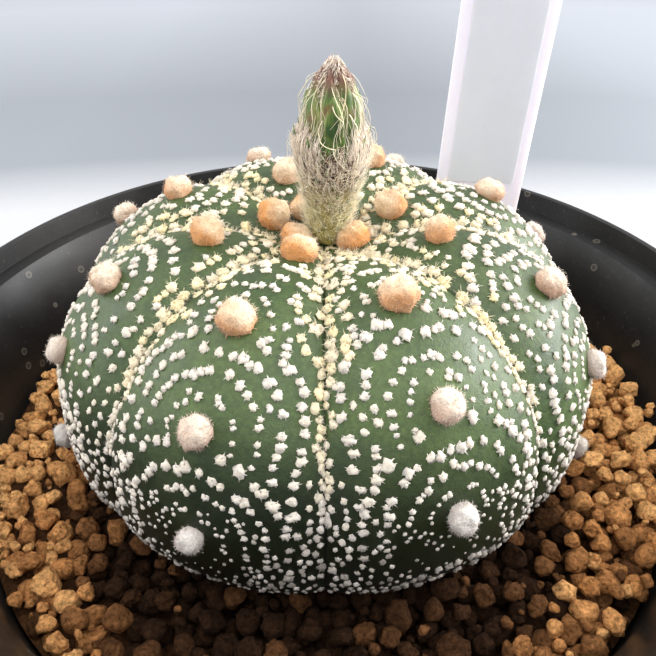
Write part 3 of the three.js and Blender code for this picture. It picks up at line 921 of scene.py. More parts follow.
def line_groove(book, side, settings):
    """Lines one side of a groove: feathery tufts near the crown, then cream flecks, then a few thin ones."""
    draw = book.draw
    tuft, fleck = settings.tuft, settings.groove_fleck
    for first, last, width, nearest, farthest, hairs, chance, long in (
        (0.05, 0.46, tuft, 0.2, 1.1, TUFT_HAIRS, 0.92, 1.0),
        (0.12, 0.44, 0.75 * tuft, 1.9, 3.3, 6, 0.6, 1.0),
        (0.44, 0.7, fleck, 0.12, 1.1, 6, 0.95, 1.05),
        (0.68, 0.88, 0.8 * fleck, 0.12, 0.7, 3, 0.8, 1.3),
    ):
        run, end = run_of(first), run_of(last)
        while run < end:
            place = float(place_of(run))
            size = width * draw.uniform(0.68, 1.12)
            away = draw.uniform(nearest, farthest) * MM / half_rib(place)
            cream = draw.uniform(0.4, 1.0) * float(np.interp(place, (0.5, 0.88), (1, 0.2)))
            if draw.random() < chance:
                book.put(side * (1 - away), place, size, cream, hairs, 0.64, long * draw.uniform(0.8, 1.2))
            run += size * draw.uniform(0.75, 1.2)


def plan_flecks(rib, settings):
    """Every fleck of one rib: arches nested over each areole, lined grooves and a scatter between."""
    draw = random.Random(RIB_SEED + rib)
    places = sorted(place for other, place in AREOLES if other == rib)
    book = FleckBook(rib, places, draw)
    for side in (-1, 1):
        line_groove(book, side, settings)
    for _ in range(CROWN_TUFTS):
        size = settings.tuft * draw.uniform(0.5, 0.9)
        across, place, cream = draw.uniform(-0.98, 0.98), draw.uniform(CROWN_EDGE, 0.1), draw.uniform(0.6, 1.0)
        book.put(across, place, size, cream, TUFT_HAIRS, 0.5, 1.1)
    tops = [run_of(place) for place in places]
    tops.append(tops[-1] + run_of(0.3))
    for index, top in enumerate(tops):
        widest = top - (tops[index - 1] if index else 0) - ARCH_GAP
        below = tops[index + 1] if index + 1 < len(tops) else math.inf

        def until(aside, below=below, reach=below - top - ARCH_GAP):
            """How far down a flank an arch may run: to the widest arch over the next areole."""
            return below - math.sqrt(reach**2 - aside**2) if aside < reach < math.inf else math.inf

        distance = FIRST_ARCH
        while distance < min(widest + 0.3 * MM, LAST_ARCH):
            for side in (-1, 1):
                arch_run(book, top, distance + draw.gauss(0, 0.15 * MM), side, until, settings)
            distance += settings.fleck_gap * draw.uniform(0.92, 1.1)
    for _ in range(STRAY_FLECKS):
        across = draw.choice((-1, 1)) * draw.uniform(0.5, 0.94)
        place = draw.uniform(0.2, 1.15)
        size = fleck_size(place, 8 * MM, settings) * draw.uniform(0.6, 0.95)
        book.put(across, place, size, 0.3 * draw.random(), 0, 1.22)
    for _ in range(LOW_FLECKS):
        out = draw.random() ** 0.5
        size = (0.45 + 0.75 * out) * draw.uniform(0.7, 1.15) * MM
        across, place = draw.choice((-1, 1)) * 0.97 * out, draw.uniform(0.86, WOOL_END)
        book.put(across, place, size, 0.2 * draw.random(), 0, 0.9, 1.1)
    for _ in range(TINY_FLECKS):
        size = draw.uniform(0.22, 0.5) * MM
        book.put(draw.uniform(-0.45, 0.45), draw.uniform(0.72, 1.1), size, 0.3 * draw.random(), 0, 2.4)
    return book


def fringe(draw, point, turn, size, cream, number):
    """Longer hairs that fan out of a fleck beside a groove."""
    paths, widths = [], []
    for _ in range(number):
        angle = draw.uniform(0, TURN)
        flat = np.array([math.cos(angle), math.sin(angle), 0])
        far = size * draw.uniform(0.5, 0.78)
        lift = size * draw.uniform(0.05, 0.45)
        steps = ((size * 0.15, size * 0.12), (far * 0.65, lift * 1.2), (far, lift * 0.7))
        path = np.array([flat * out + (0, 0, up) for out, up in steps])
        paths.append(path @ turn.T + point)
        widths.append(draw.uniform(0.07, 0.12) * MM)
    return *strands(paths, widths), cream


class STAR_CACTUS_OT_flecks(bpy.types.Operator):
    """Sets the white woolly flecks on every rib, in arches over the areoles and along the grooves"""

    bl_idname = "star_cactus.flecks"
    bl_label = "Flecks of wool"

    def execute(self, context):
        """Plans and builds the flecks, one mesh a rib."""
        settings = context.scene.cactus_wool
        material = wool_material(settings)
        draw = random.Random(FLECK_SEED)
        shapes = [fleck_shape(number, draw) for number in range(FLECK_SHAPES)]
        for rib in range(RIBS):
            book = plan_flecks(rib, settings)
            points, turns = skin_frames(*(np.array([row[k] for row in book.rows]) for k in (0, 1)))
            parts = []
            for point, turn, (azimuth, place, size, cream, hairs, long) in zip(points, turns, book.rows):
                spin = np.array(Matrix.Rotation(draw.gauss(0, 0.3), 3, "Z"))
                flip = draw.choice((-1, 1))
                lower = 0.62 if hairs < TUFT_HAIRS else 0.36
                scale = (size, size * long, size * lower * draw.uniform(0.85, 1.1))
                shape = draw.choice(shapes)
                half_turn = (shape[0] * (flip, flip, 1), shape[1])
                corners, faces = placed(half_turn, scale, turn @ spin, point)
                # Painted shade: flecks low down, most of all at the front, are tinted towards the low wool colour;
                # their fringes take the same tint.
                low = place - 0.22 * math.sin(azimuth) ** 2
                tone = 0.25 + 0.75 * cream - float(np.interp(low, (0.78, 1.02), (0, 0.25)))
                parts.append((corners, faces, tone))
                if hairs:
                    parts.append(fringe(draw, point, turn, size, tone, hairs))
            hand_over(merged(f"flecks_rib_{rib}", parts), "cactus_skin", material)
        return {"FINISHED"}


# The areoles

AREOLE_SHAPES = 9
AREOLE_SEED = 21
FELT_SEED = 300


def felt_tone(tree, settings):
    """The felt's colour by age: tan to grey down its side, paler towards its top and the crown, partly from the
    pale ends of its hairs and partly as painted light on the side that faces the light.
    """
    age = attribute(tree, "tint")
    side = ramp(tree, age, (0.0, settings.young), (0.45, settings.middle), (1.0, settings.old))
    top = ramp(tree, age, (0.0, settings.pile), (0.3, linear(224, 204, 180)), (1.0, linear(212, 206, 200)))
    patch = math_node(tree, "MULTIPLY", cloud(tree, 1.6 * MM, 3), 0.9)
    height = math_node(tree, "ADD", attribute(tree, "top"), math_node(tree, "SUBTRACT", patch, 0.45))
    return mix(tree, ramp(tree, height, (0.36, 0.0), (0.9, 1.0)), side, top)


def felt_material(settings):
    """Dense felt: tan when young and grey white when old, with a paler top that is partly painted light."""
    material, tree, shader = new_material("areole_felt", 0.95, 0.05, sheen=0.12, subsurface=0.2)
    grain = ramp(tree, cloud(tree, 0.13 * MM, 3, 0.7), (0.3, 0.76), (0.68, 1.1))
    paint(tree, shader, times(tree, felt_tone(tree, settings), grain))
    relief(tree, shader, cloud(tree, 0.15 * MM, 3, 0.65), 0.26 * MM, 1.0)
    return material


def pile_material(settings):
    """The ends of the felt's hairs, a little paler than the felt."""
    material, tree, shader = new_material("areole_pile", 0.9, 0.05, sheen=0.12)
    tone = mix(tree, 0.26, felt_tone(tree, settings), settings.white)
    shade = ramp(tree, cloud(tree, 0.9 * MM, 3), (0.35, 0.86), (0.66, 1.08))
    paint(tree, shader, times(tree, tone, shade))
    return material


def areole_shape(number, draw, hairs):
    """One areole a unit wide: a lumpy, squarish cushion with a dimple, and the felt of hairs on it."""
    piece = begin("areole_shape", bpy.ops.mesh.primitive_uv_sphere_add, segments=28, ring_count=18, radius=0.5)
    displace(piece, f"areole_lumps_{number}", 0.22 + 0.03 * number, 0.22)
    corners, faces = take_shape(piece)
    square = draw.uniform(0.72, 0.95)
    corners[:, :2] = np.sign(corners[:, :2]) * np.abs(corners[:, :2]) ** square * 0.5 ** (1 - square)
    lip = np.exp(-(((corners[:, 1] + 0.42) / 0.16) ** 2) - (corners[:, 0] / 0.13) ** 2)
    corners[:, 1] -= lip * draw.uniform(0.0, 0.16)
    flat = np.hypot(corners[:, 0], corners[:, 1])
    corners[:, 2] -= np.where(corners[:, 2] > 0, 0.07 * np.exp(-((flat / 0.12) ** 2)), 0)
    out = corners / np.linalg.norm(corners, axis=1, keepdims=True)
    rng = np.random.default_rng(FELT_SEED + number)
    ways = rng.normal(size=(hairs, 3))
    ways /= np.linalg.norm(ways, axis=1, keepdims=True)
    nearest = np.argmax(ways @ out.T, axis=1)
    base = corners[nearest] * rng.uniform(0.9, 0.98, (hairs, 1)) + rng.normal(0, 0.016, (hairs, 3))
    lean = ways + rng.normal(0, 0.55, (hairs, 3)) + (0, -0.15, 0)
    lean /= np.linalg.norm(lean, axis=1, keepdims=True)
    tips = base + lean * rng.uniform(0.07, 0.2, (hairs, 1))
    return (corners, faces), strands(np.stack([base, tips], axis=1), rng.uniform(0.014, 0.024, hairs))


class STAR_CACTUS_OT_areoles(bpy.types.Operator):
    """Seats a felted areole at every place along the crests"""

    bl_idname = "star_cactus.areoles"
    bl_label = "Areoles"

    def execute(self, context):
        """Builds all the areoles as one mesh and the hairs of their felt as another."""
        settings = context.scene.cactus_wool
        draw = random.Random(AREOLE_SEED)
        shapes = [areole_shape(number, draw, settings.felt) for number in range(AREOLE_SHAPES)]
        cushions, piles = [], []
        tops = [], []
        ribs, places = (np.array(column) for column in zip(*AREOLES))
        points, turns = skin_frames(crest_turn(ribs), places)
        for index, (point, turn, place) in enumerate(zip(points, turns, places)):
            grown = np.interp(place, (0.05, 0.12, 0.3, 0.6, 0.85, 1.1), (1.0, 1.0, 0.93, 0.87, 0.72, 0.6))
            width = settings.areole * float(grown) * draw.uniform(0.94, 1.06)
            long = width * float(np.interp(place, (0.1, 0.6, 0.9), (0.9, 1.0, 1.22)))
            tall = width * draw.uniform(0.8, 0.95)
            seat = point + turn[:, 2] * tall * 0.2
            tilt = turn @ np.array(Matrix.Rotation(draw.gauss(0, 0.2), 3, "Z"))
            age = float(np.interp(place, (0.05, 0.22, 0.5, 0.9), (0.0, 0.12, 0.45, 1.0))) + draw.gauss(0, 0.06)
            for shape, parts, top in zip(shapes[(index * 5) % len(shapes)], (cushions, piles), tops):
                parts.append((*placed(shape, (width, long, tall), tilt, seat), min(max(age, 0.0), 1.0)))
                # Partly painted light: the felt pales on the side that faces out and towards the crown.
                top.append(np.clip(0.42 + shape[0] @ np.array([0.1, 0.55, 0.85]), 0, 1))
        for name, parts, top, material in (
            ("areoles", cushions, tops[0], felt_material(settings)),
            ("areole_pile", piles, tops[1], pile_material(settings)),
        ):
            piece = merged(name, parts)
            keep(piece, "top", np.concatenate(top))
            hand_over(piece, "cactus_skin", material)
        return {"FINISHED"}


# The flower bud

# Petals and how many stand in one turn, flames of wool on the tube's ledge and the hairs of each, and the hairs
# on the tip, out of it and over the shoulders.
PETALS = 21
PETALS_ROUND = 7
FLAMES_ROUND = 38
FLAME_HAIRS = 13
TIP_HAIRS = 700
SPEARS = 9
SHOULDER_HAIRS = 420
BUD_SEED = 31
BUD_WOOL_SEED = 37


def bud_point(turn, height, radius):
    """A point round the bud's own axis, which leans a little to the right."""
    upright = np.stack(np.broadcast_arrays(radius * np.sin(turn), -radius * np.cos(turn), height), axis=-1)
    lean = np.array(Matrix.Rotation(BUD_LEAN, 3, "Y"))
    return upright @ lean.T + np.array(BUD_FOOT)


def size_at(profile, height):
    """A bud profile's radius, length or width at a height above the foot."""
    sizes, heights = zip(*profile)
    return np.interp(height / MM, heights, sizes) * MM


def tube_material():
    """Yellowish green tube under its wool."""
    material, tree, shader = new_material("bud_tube", 0.7, 0.3)
    stops = (
        (0.0, linear(176, 168, 96)),
        (0.5, linear(150, 138, 92)),
        (0.66, linear(84, 56, 48)),
        (0.86, linear(84, 62, 44)),
        (0.93, linear(72, 90, 40)),
    )
    tone = ramp(tree, up_the_bud(tree, 0, 16 * MM), *stops)
    speck = ramp(tree, cloud(tree, 0.5 * MM, 4, 0.7), (0.35, 0.55), (0.7, 1.15))
    paint(tree, shader, times(tree, tone, speck))
    relief(tree, shader, cloud(tree, 0.4 * MM, 4, 0.6), 0.3 * MM, 0.8)
    return material


def scale_material():
    """Narrow bud scales, green towards the tip and brown at the foot."""
    material, tree, shader = new_material("bud_scale", 0.55, 0.4)
    stops = (
        (0.0, linear(150, 116, 96)),
        (0.3, linear(96, 62, 56)),
        (0.5, linear(74, 84, 40)),
        (0.7, linear(84, 116, 44)),
        (0.9, linear(78, 108, 38)),
        (1.0, linear(150, 110, 60)),
    )
    tone = ramp(tree, attribute(tree, "tint"), *stops)
    speck = ramp(tree, cloud(tree, 0.3 * MM, 3, 0.6), (0.3, 0.75), (0.7, 1.1))
    paint(tree, shader, times(tree, tone, speck))
    relief(tree, shader, cloud(tree, 0.2 * MM, 3), 0.08 * MM, 0.7)
    return material


def petal_material(settings):
    """Closed petals: striped in two greens, paler at the edges, pinkish brown at the bud's very tip."""
    material, tree, shader = new_material("bud_petal", 0.5, 0.4)
    stops = ((0.38, settings.green), (0.55, linear(82, 104, 40)), (0.68, linear(112, 92, 52)))
    leaf = ramp(tree, cloud(tree, 1.6 * MM, 2), *stops)
    edge = ramp(tree, attribute(tree, "across"), (0.4, 0.0), (0.52, 0.75), (0.64, 0.1), (0.94, 1.0))
    streak = cloud(tree, 0.2 * MM, 3, 0.6, stretch=(1, 1, 0.08))
    tone = times(tree, mix(tree, edge, leaf, settings.pale), ramp(tree, streak, (0.35, 0.66), (0.66, 1.3)))
    withered = up_the_bud(tree, 20.8 * MM, 22.6 * MM)
    paint(tree, shader, mix(tree, withered, tone, settings.tip))
    relief(tree, shader, streak, 0.1 * MM, 0.8)
    return material


def hair_material(name, root, tip):
    """Fine hairs, from one colour to another with their tint."""
    material, tree, shader = new_material(name, 0.85, 0.12, sheen=0.1, subsurface=0.3)
    tone = ramp(tree, attribute(tree, "tint"), (0.0, root), (1.0, tip))
    shade = ramp(tree, cloud(tree, 0.6 * MM, 2), (0.35, 0.85), (0.65, 1.08))
    paint(tree, shader, times(tree, tone, shade))
    return material


def scale_shape():
    """One pointed scale a unit long, drawn out of a small block: its foot at zero, its tip along +Z."""
    piece = begin("scale_shape", bpy.ops.mesh.primitive_cube_add, size=1, location=(0, 0, 0.08))
    bpy.ops.transform.resize(value=(0.26, 0.1, 0.16), center_override=(0, 0, 0.08))
    bpy.ops.object.transform_apply(location=True, rotation=True, scale=True)
    with Editing("FACE", lambda face: face.normal.z > 0.9):
        for rise, narrow in ((0.25, 1.15), (0.25, 0.75), (0.34, 0.12)):
            bpy.ops.mesh.extrude_region_move(TRANSFORM_OT_translate={"value": (0, 0, rise)})
            bpy.ops.transform.resize(value=(narrow, narrow, 1))
    rounding = piece.modifiers.new("rounding", "SUBSURF")
    rounding.levels = rounding.render_levels = 1
    finish_modifiers(piece)
    return take_shape(piece)


def scale_spots(draw, number):
    """Where the tube's scales stand, in a spiral up it: their heights and their turns."""
    share_up = np.arange(number) / number
    turns = np.arange(number) * GOLDEN_TURN + np.array([draw.gauss(0, 0.07) for _ in range(number)])
    return (1.2 + 13.0 * share_up**0.9) * MM, turns


def scale_parts(heights, turns):
    """The tube's scales: small and low near its foot, with long green tips round its widest part."""
    shape = scale_shape()
    tint = np.clip(shape[0][:, 2], 0, 1)
    parts = []
    for height, turn in zip(heights, turns):
        radius = float(size_at(TUBE, height)) - 0.1 * MM
        size, width = (size_at(profile, height) for profile in (SCALE_LENGTHS, SCALE_WIDTHS))
        foot, top = bud_point(turn, height, radius), bud_point(turn, height + size, radius + 0.6 * MM)
        along = Vector(top - foot).normalized()
        side = along.cross(Vector((math.sin(turn), -math.cos(turn), 0.1))).normalized()
        set_up = Matrix((side, side.cross(along), along)).transposed()
        parts.append((*placed(shape, (width, 2.2 * MM, size), set_up, foot), tint))
    return parts


def petal_shape():
    """A flat net that each closed petal is pressed from."""
    piece = begin("petal_shape", bpy.ops.mesh.primitive_grid_add, x_subdivisions=6, y_subdivisions=14, size=1)
    thick = piece.modifiers.new("thickness", "SOLIDIFY")
    thick.thickness = 1.0
    thick.offset = 0
    finish_modifiers(piece)
    return take_shape(piece)


def petal_parts(draw):
    """Closed petals laid round the bud's cone in overlapping turns, each with a keel and a pointed tip."""
    flat, faces = petal_shape()
    along, across = flat[:, 1] + 0.5, flat[:, 0] * 2
    half = np.interp(along, (0, 0.35, 0.7, 0.92, 1), (0.34, 0.44, 0.38, 0.22, 0.03))
    keel = 0.24 * MM * (1 - np.abs(across)) ** 1.2
    parts = []
    for index in range(PETALS):
        layer = index // PETALS_ROUND
        turn = (index + 0.5 * layer) * TURN / PETALS_ROUND + 0.3 * layer + draw.gauss(0, 0.06)
        low, high = (12.6 + 0.3 * layer) * MM, (21.0 + 1.5 * layer + draw.uniform(-0.6, 0.6)) * MM
        height = low + (high - low) * along
        lift = (0.45 - 0.17 * layer) * MM + keel - 0.22 * MM * across**2 + flat[:, 2] * 0.12 * MM
        radius = np.maximum(size_at(CONE, height) + lift, 0.12 * MM)
        spread = half * across * np.interp(height, (12 * MM, 22 * MM, 24.6 * MM), (1.0, 1.25, 1.6))
        parts.append((bud_point(turn + spread, height, radius), faces, along))
    return parts, np.tile(np.abs(across), len(parts))


def bud_radius(height):
    """The bud's radius at heights over its foot: the tube's, then the petals' cone."""
    tube = np.where(height < 16.2 * MM, size_at(TUBE, height), 0)
    return np.maximum(tube, np.where(height > 13.4 * MM, size_at(CONE, height), 0))


def tuft_wool(rng, heights, turns, each):
    """Soft tangled wool: a tuft of fine hairs over every scale's foot, standing off the tube in a fuzz."""
    number = len(heights) * each
    t = np.linspace(0, 1, 4)
    height = np.repeat(heights, each)[:, None] + rng.normal(0, 0.5 * MM, (number, 1))
    turn = np.repeat(turns, each)[:, None] + rng.normal(0, 0.16, (number, 1))
    phase = rng.uniform(0, TURN, (number, 1))
    reach = rng.uniform(1.1, 2.5, (number, 1)) * MM
    lift, swing = rng.uniform(0.2, 1.2, (number, 1)), rng.normal(0, 0.14, (number, 1))
    stand_off = (0.35 + 1.0 * rng.random((number, 1)) ** 1.6) * MM
    curl = rng.uniform(0.1, 0.35, (number, 1)) * MM
    high = np.clip(height + reach * lift * t + curl * np.sin(phase + 5 * t) * t, 0.2 * MM, 15.6 * MM)
    off = -0.12 * MM + stand_off * np.sin(1.9 * t) + curl * np.cos(phase + 5 * t) * t
    around = turn + swing * t + 0.07 * np.cos(phase + 7 * t) * t
    paths = bud_point(around, high, size_at(TUBE, np.minimum(high, 13.5 * MM)) + off)
    tints = (height[:, 0] / MM - 1) / 6 + np.repeat(rng.normal(0, 0.3, len(heights)), each)
    tints = tints + rng.normal(0, 0.15, number)
    return tinted(paths, rng.uniform(0.045, 0.085, number) * MM, tints)


def from_petal_gap(turn):
    """How far a turn is from the nearest gap in the wool through which the petals show."""
    return np.abs((np.asarray(turn)[..., None] - np.array(PETAL_GAPS) + math.pi) % TURN - math.pi).min(axis=-1)


def flame_wool(rng, heights, turns, each):
    """Pinkish white tufts that stand up like little flames between the scale tips."""
    high_up = heights > 9.2 * MM
    ledge = np.arange(FLAMES_ROUND) * TURN / FLAMES_ROUND + rng.normal(0, 0.06, FLAMES_ROUND)
    ledge = ledge[from_petal_gap(ledge) > 0.35]
    raised = np.where(from_petal_gap(ledge) > 0.6, 1.3, 0.0)
    heights = np.concatenate([heights[high_up], (rng.uniform(13.4, 15.0, len(ledge)) + raised) * MM])
    turns = np.concatenate([turns[high_up] + 0.34, ledge])
    number = len(heights) * each
    t = np.linspace(0, 1, 5)
    height = np.repeat(heights, each)[:, None] + rng.normal(-0.2, 0.25, (number, 1)) * MM
    spread = rng.normal(0, 0.055, (number, 1))
    reach = np.repeat(rng.uniform(1.3, 2.5, len(heights)), each)[:, None] * rng.uniform(0.6, 1.1, (number, 1)) * MM
    bulge, phase = rng.uniform(0.1, 0.5, (number, 1)) * MM, rng.uniform(0, TURN, (number, 1))
    high = height + reach * t
    around = np.repeat(turns, each)[:, None] + spread * (1 - 0.6 * t) + 0.03 * np.sin(phase + 6 * t) * t
    close = 0.35 * np.maximum(high - 14.5 * MM, 0)
    wide = size_at(TUBE, np.minimum(height, 14 * MM)) + bulge * np.sin(2.6 * t) + 0.15 * MM - close
    tints = np.where(rng.random(number) < 0.12, 0.1, rng.uniform(0.7, 1.0, number))
    return tinted(bud_point(around, high, wide), rng.uniform(0.1, 0.17, number) * MM, tints)


def tip_hairs(rng, number):
    """Short pinkish and pale hairs that close over the withered tip, with a few thin dark ones on top."""
    t = np.linspace(0, 1, 5)
    height = rng.uniform(20.0, 24.2, (number, 1)) * MM
    turn, phase = rng.uniform(0, TURN, (2, number, 1))
    reach = rng.uniform(0.5, 1.5, (number, 1)) * MM
    curl = rng.uniform(0.1, 0.45, (number, 1)) * MM
    high = np.minimum(height + reach * t, 25.1 * MM)
    wide = (bud_radius(height) + 0.3 * MM) * (1 - 0.75 * t) + curl * np.sin(phase + 6 * t) * t
    paths = bud_point(turn + 0.4 * np.sin(phase + 5 * t) * t, high, np.maximum(wide, 0.02 * MM))
    tints = np.where(rng.random(number) < 0.2, 0.15, rng.uniform(0.45, 1.0, number))
    return tinted(paths, rng.uniform(0.08, 0.15, number) * MM, tints)


def spear_hairs(rng, number):
    """A few thin dark hairs that stand out of the very tip."""
    t = np.linspace(0, 1, 4)
    turn = rng.uniform(0, TURN, (number, 1))
    reach, lean = rng.uniform(0.7, 1.8, (number, 1)) * MM, rng.uniform(0.1, 0.9, (number, 1)) * MM
    paths = bud_point(turn, 24.2 * MM + reach * t, 0.15 * MM + lean * t)
    return tinted(paths, np.full(number, 0.06 * MM), np.zeros(number))


def shoulder_hairs(rng, number):
    """Pale hairs that rise from the scales and close over the petals, but leave a few gaps between them."""
    t = np.linspace(0, 1, 8)
    turn = rng.uniform(0, TURN, (number, 1))
    turn = np.where(from_petal_gap(turn) < 0.4, turn + 0.8 * np.sign(rng.normal(size=(number, 1))), turn)
    height = rng.uniform(10.5, 15.0, (number, 1)) * MM
    reach = rng.uniform(2.5, 8.0, (number, 1)) * MM
    stand_off, phase = rng.uniform(0.15, 0.75, (number, 1)) * MM, rng.uniform(0, TURN, (number, 1))
    swing, wave = rng.normal(0, 0.12, (number, 1)), rng.uniform(0.05, 0.3, (number, 1)) * MM
    high = height + reach * t
    wide = bud_radius(high) + stand_off * np.sin(2.6 * t) ** 0.7 + wave * np.sin(phase + 8 * t) * t
    paths = bud_point(turn + swing * t + 0.06 * np.sin(phase + 7 * t) * t, high, wide)
    kind = rng.random(number)
    tints = np.where(kind < 0.12, 0.0, np.where(kind < 0.3, rng.uniform(0.4, 0.7, number), 1.0))
    return tinted(paths, rng.uniform(0.05, 0.12, number) * MM, tints)


def long_strands(rng, number):
    """Long curled hairs that run down from the tip over the petals, looping where they stand off."""
    t = np.linspace(0, 1, 30)
    start = rng.uniform(18.0, 23.4, (number, 1)) * MM
    turn, phase = rng.uniform(0, TURN, (2, number, 1))
    drop = rng.uniform(2.5, 9.5, (number, 1)) * MM
    swing, loops = rng.normal(0, 0.45, (number, 1)), rng.uniform(0.2, 1.1, (number, 1))
    curl = rng.uniform(0.15, 0.8, (number, 1)) * MM * np.sin(math.pi * np.minimum(1, 1.1 * t))
    turning = phase + TURN * loops * t
    high = np.maximum(start - drop * t + curl * np.sin(turning), 11 * MM)
    stand_off = rng.uniform(0.2, 1.3, (number, 1)) * MM * np.sin(math.pi * t) ** 0.7
    base = np.maximum(bud_radius(high), 0.5 * MM)
    wide = base + 0.3 * MM + stand_off
    paths = bud_point(turn + swing * t + curl * np.cos(turning) / (3.2 * MM), high, wide)
    widths = np.where(rng.random(number) < 0.25, 0.15, rng.uniform(0.05, 0.1, number))
    return tinted(paths, widths * MM, rng.uniform(0.2, 1.0, number), 0.6)


class STAR_CACTUS_OT_bud(bpy.types.Operator):
    """Builds the closed flower bud: tube, scales, petals and all its wool"""

    bl_idname = "star_cactus.bud"
    bl_label = "Flower bud"

    def execute(self, context):
        """Builds the bud's pieces."""
        settings = context.scene.cactus_bud
        draw = random.Random(BUD_SEED)
        lean = Matrix.Translation(BUD_FOOT) @ Matrix.Rotation(BUD_LEAN, 4, "Y")
        profile = [(0.3 * MM, 0)] + [(r * MM, z * MM) for r, z in TUBE] + [(0.3 * MM, 16.2 * MM)]
        tube = turned("bud_tube", profile, 40)
        tube.data.transform(lean)
        close_holes()
        hand_over(tube, "cactus_skin", tube_material(), "flower_bud_tube")
        spots = scale_spots(draw, settings.scales)
        hand_over(merged("bud_scales", scale_parts(*spots)), "cactus_skin", scale_material())
        petals, across = petal_parts(draw)
        core = turned("bud_core", [(0.3 * MM, 12.6 * MM)] + [(r * MM * 0.9, z * MM) for r, z in CONE], 32)
        core.data.transform(lean)
        close_holes()
        petals.append((*take_shape(core), 0.5))
        piece = merged("bud_petals", petals)
        keep(piece, "across", np.append(across, np.ones(len(piece.data.vertices) - len(across))))
        hand_over(piece, "bud_petals", petal_material(settings), "flower_bud_petals")
        rng = np.random.default_rng(BUD_WOOL_SEED)
        wool = hair_material("bud_wool", settings.low_wool, settings.wool)
        hand_over(merged("bud_wool", [tuft_wool(rng, *spots, settings.tuft_hairs)]), "bud_wool", wool)
        bristle = hair_material("bud_bristle", linear(120, 82, 64), linear(255, 236, 214))
        bristles = [flame_wool(rng, *spots, FLAME_HAIRS), tip_hairs(rng, TIP_HAIRS), spear_hairs(rng, SPEARS)]
        bristles.append(shoulder_hairs(rng, SHOULDER_HAIRS))
        hand_over(merged("bud_bristles", bristles), "bud_wool", bristle)
        strand = hair_material("bud_strand", linear(214, 186, 140), settings.strand)
        hand_over(merged("bud_strands", [long_strands(rng, settings.strands)]), "bud_wool", strand)
        return {"FINISHED"}


# The soil

# Granule shapes, tries at a resting place for each granule and crumb, how far granules sink between others, the
# bare middle's radius, and the share of the granules that lie deep and get plainer shapes.
GRANULE_SHAPES = 26
CRUMB_SHAPES = 16
GRANULE_TRIES = 9
CRUMB_TRIES = 5
PACKING = 0.86
HEAP_INNER_R = 33 * MM
DEEP_SHARE = 0.7
SOIL_SEED = 47


def clay_material(settings):
    """Porous fired clay, pitted and gritty. Each granule's tone holds painted shade and light, and the grit is
    darker in its pits and paler on its grains, partly as painted shade and highlight.
    """
    material, tree, shader = new_material("clay", 0.97, 0.08)
    # The first, near black tone is painted shade for the bed that shows in the gaps between granules.
    stops = ((0.0, linear(30, 19, 12)), (0.2, settings.dark), (0.55, settings.middle), (1.0, settings.light))
    tone = ramp(tree, attribute(tree, "tint"), *stops)
    patch = ramp(tree, cloud(tree, 1.1 * MM, 4, 0.65), (0.32, 0.72), (0.68, 1.18))
    grit = cloud(tree, 0.3 * MM, 5, 0.72)
    # The grit is darker in the bump's pits and paler on its raised grains: partly the clay's own grit, partly
    # painted shade and highlight.
    paint(tree, shader, times(tree, tone, patch, ramp(tree, grit, (0.32, 0.36), (0.48, 0.95), (0.66, 1.45))))
    fine = relief(tree, shader, grit, 0.8 * MM, 1.0)
    relief(tree, shader, cells(tree, 0.75 * MM, "SMOOTH_F1"), 0.7 * MM, 0.9, fine)
    return material


def granule_shape(number, draw, subdivisions):
    """One granule a unit wide: a ball flattened on a few sides, then crumbled all over."""
    piece = begin("granule_shape", bpy.ops.mesh.primitive_ico_sphere_add, subdivisions=subdivisions, radius=0.5)
    corners = np.array([corner.co for corner in piece.data.vertices])
    for _ in range(8):
        way = np.array([draw.gauss(0, 1) for _ in range(3)])
        way /= np.linalg.norm(way)
        over = corners @ way - draw.uniform(0.26, 0.42)
        corners -= np.where(over > 0, over * 0.85, 0)[:, None] * way
    piece.data.vertices.foreach_set("co", corners.astype(np.float32).ravel())
    piece.data.update()
    displace(piece, f"granule_lumps_{number}_{subdivisions}", 0.3 + 0.05 * (number % 6), 0.26)
    with Editing():
        bpy.ops.transform.vertex_random(offset=0.045, uniform=0.3, normal=0.7, seed=number)
    corners, faces = take_shape(piece)
    spread = (corners.max(0) - corners.min(0)).mean()
    stretch = np.array([draw.uniform(0.86, 1.18), draw.uniform(0.86, 1.18), draw.uniform(0.8, 1.05)])
    return (corners - corners.mean(0)) / spread * stretch, faces


def pot_inner_r(height):
    """The radius of the pot's inner wall at a height."""
    return float(np.interp(height, (FLOOR_Z, SHOULDER_Z, MOUTH_Z), (FLOOR_R, SHOULDER_R, LEDGE_R)))


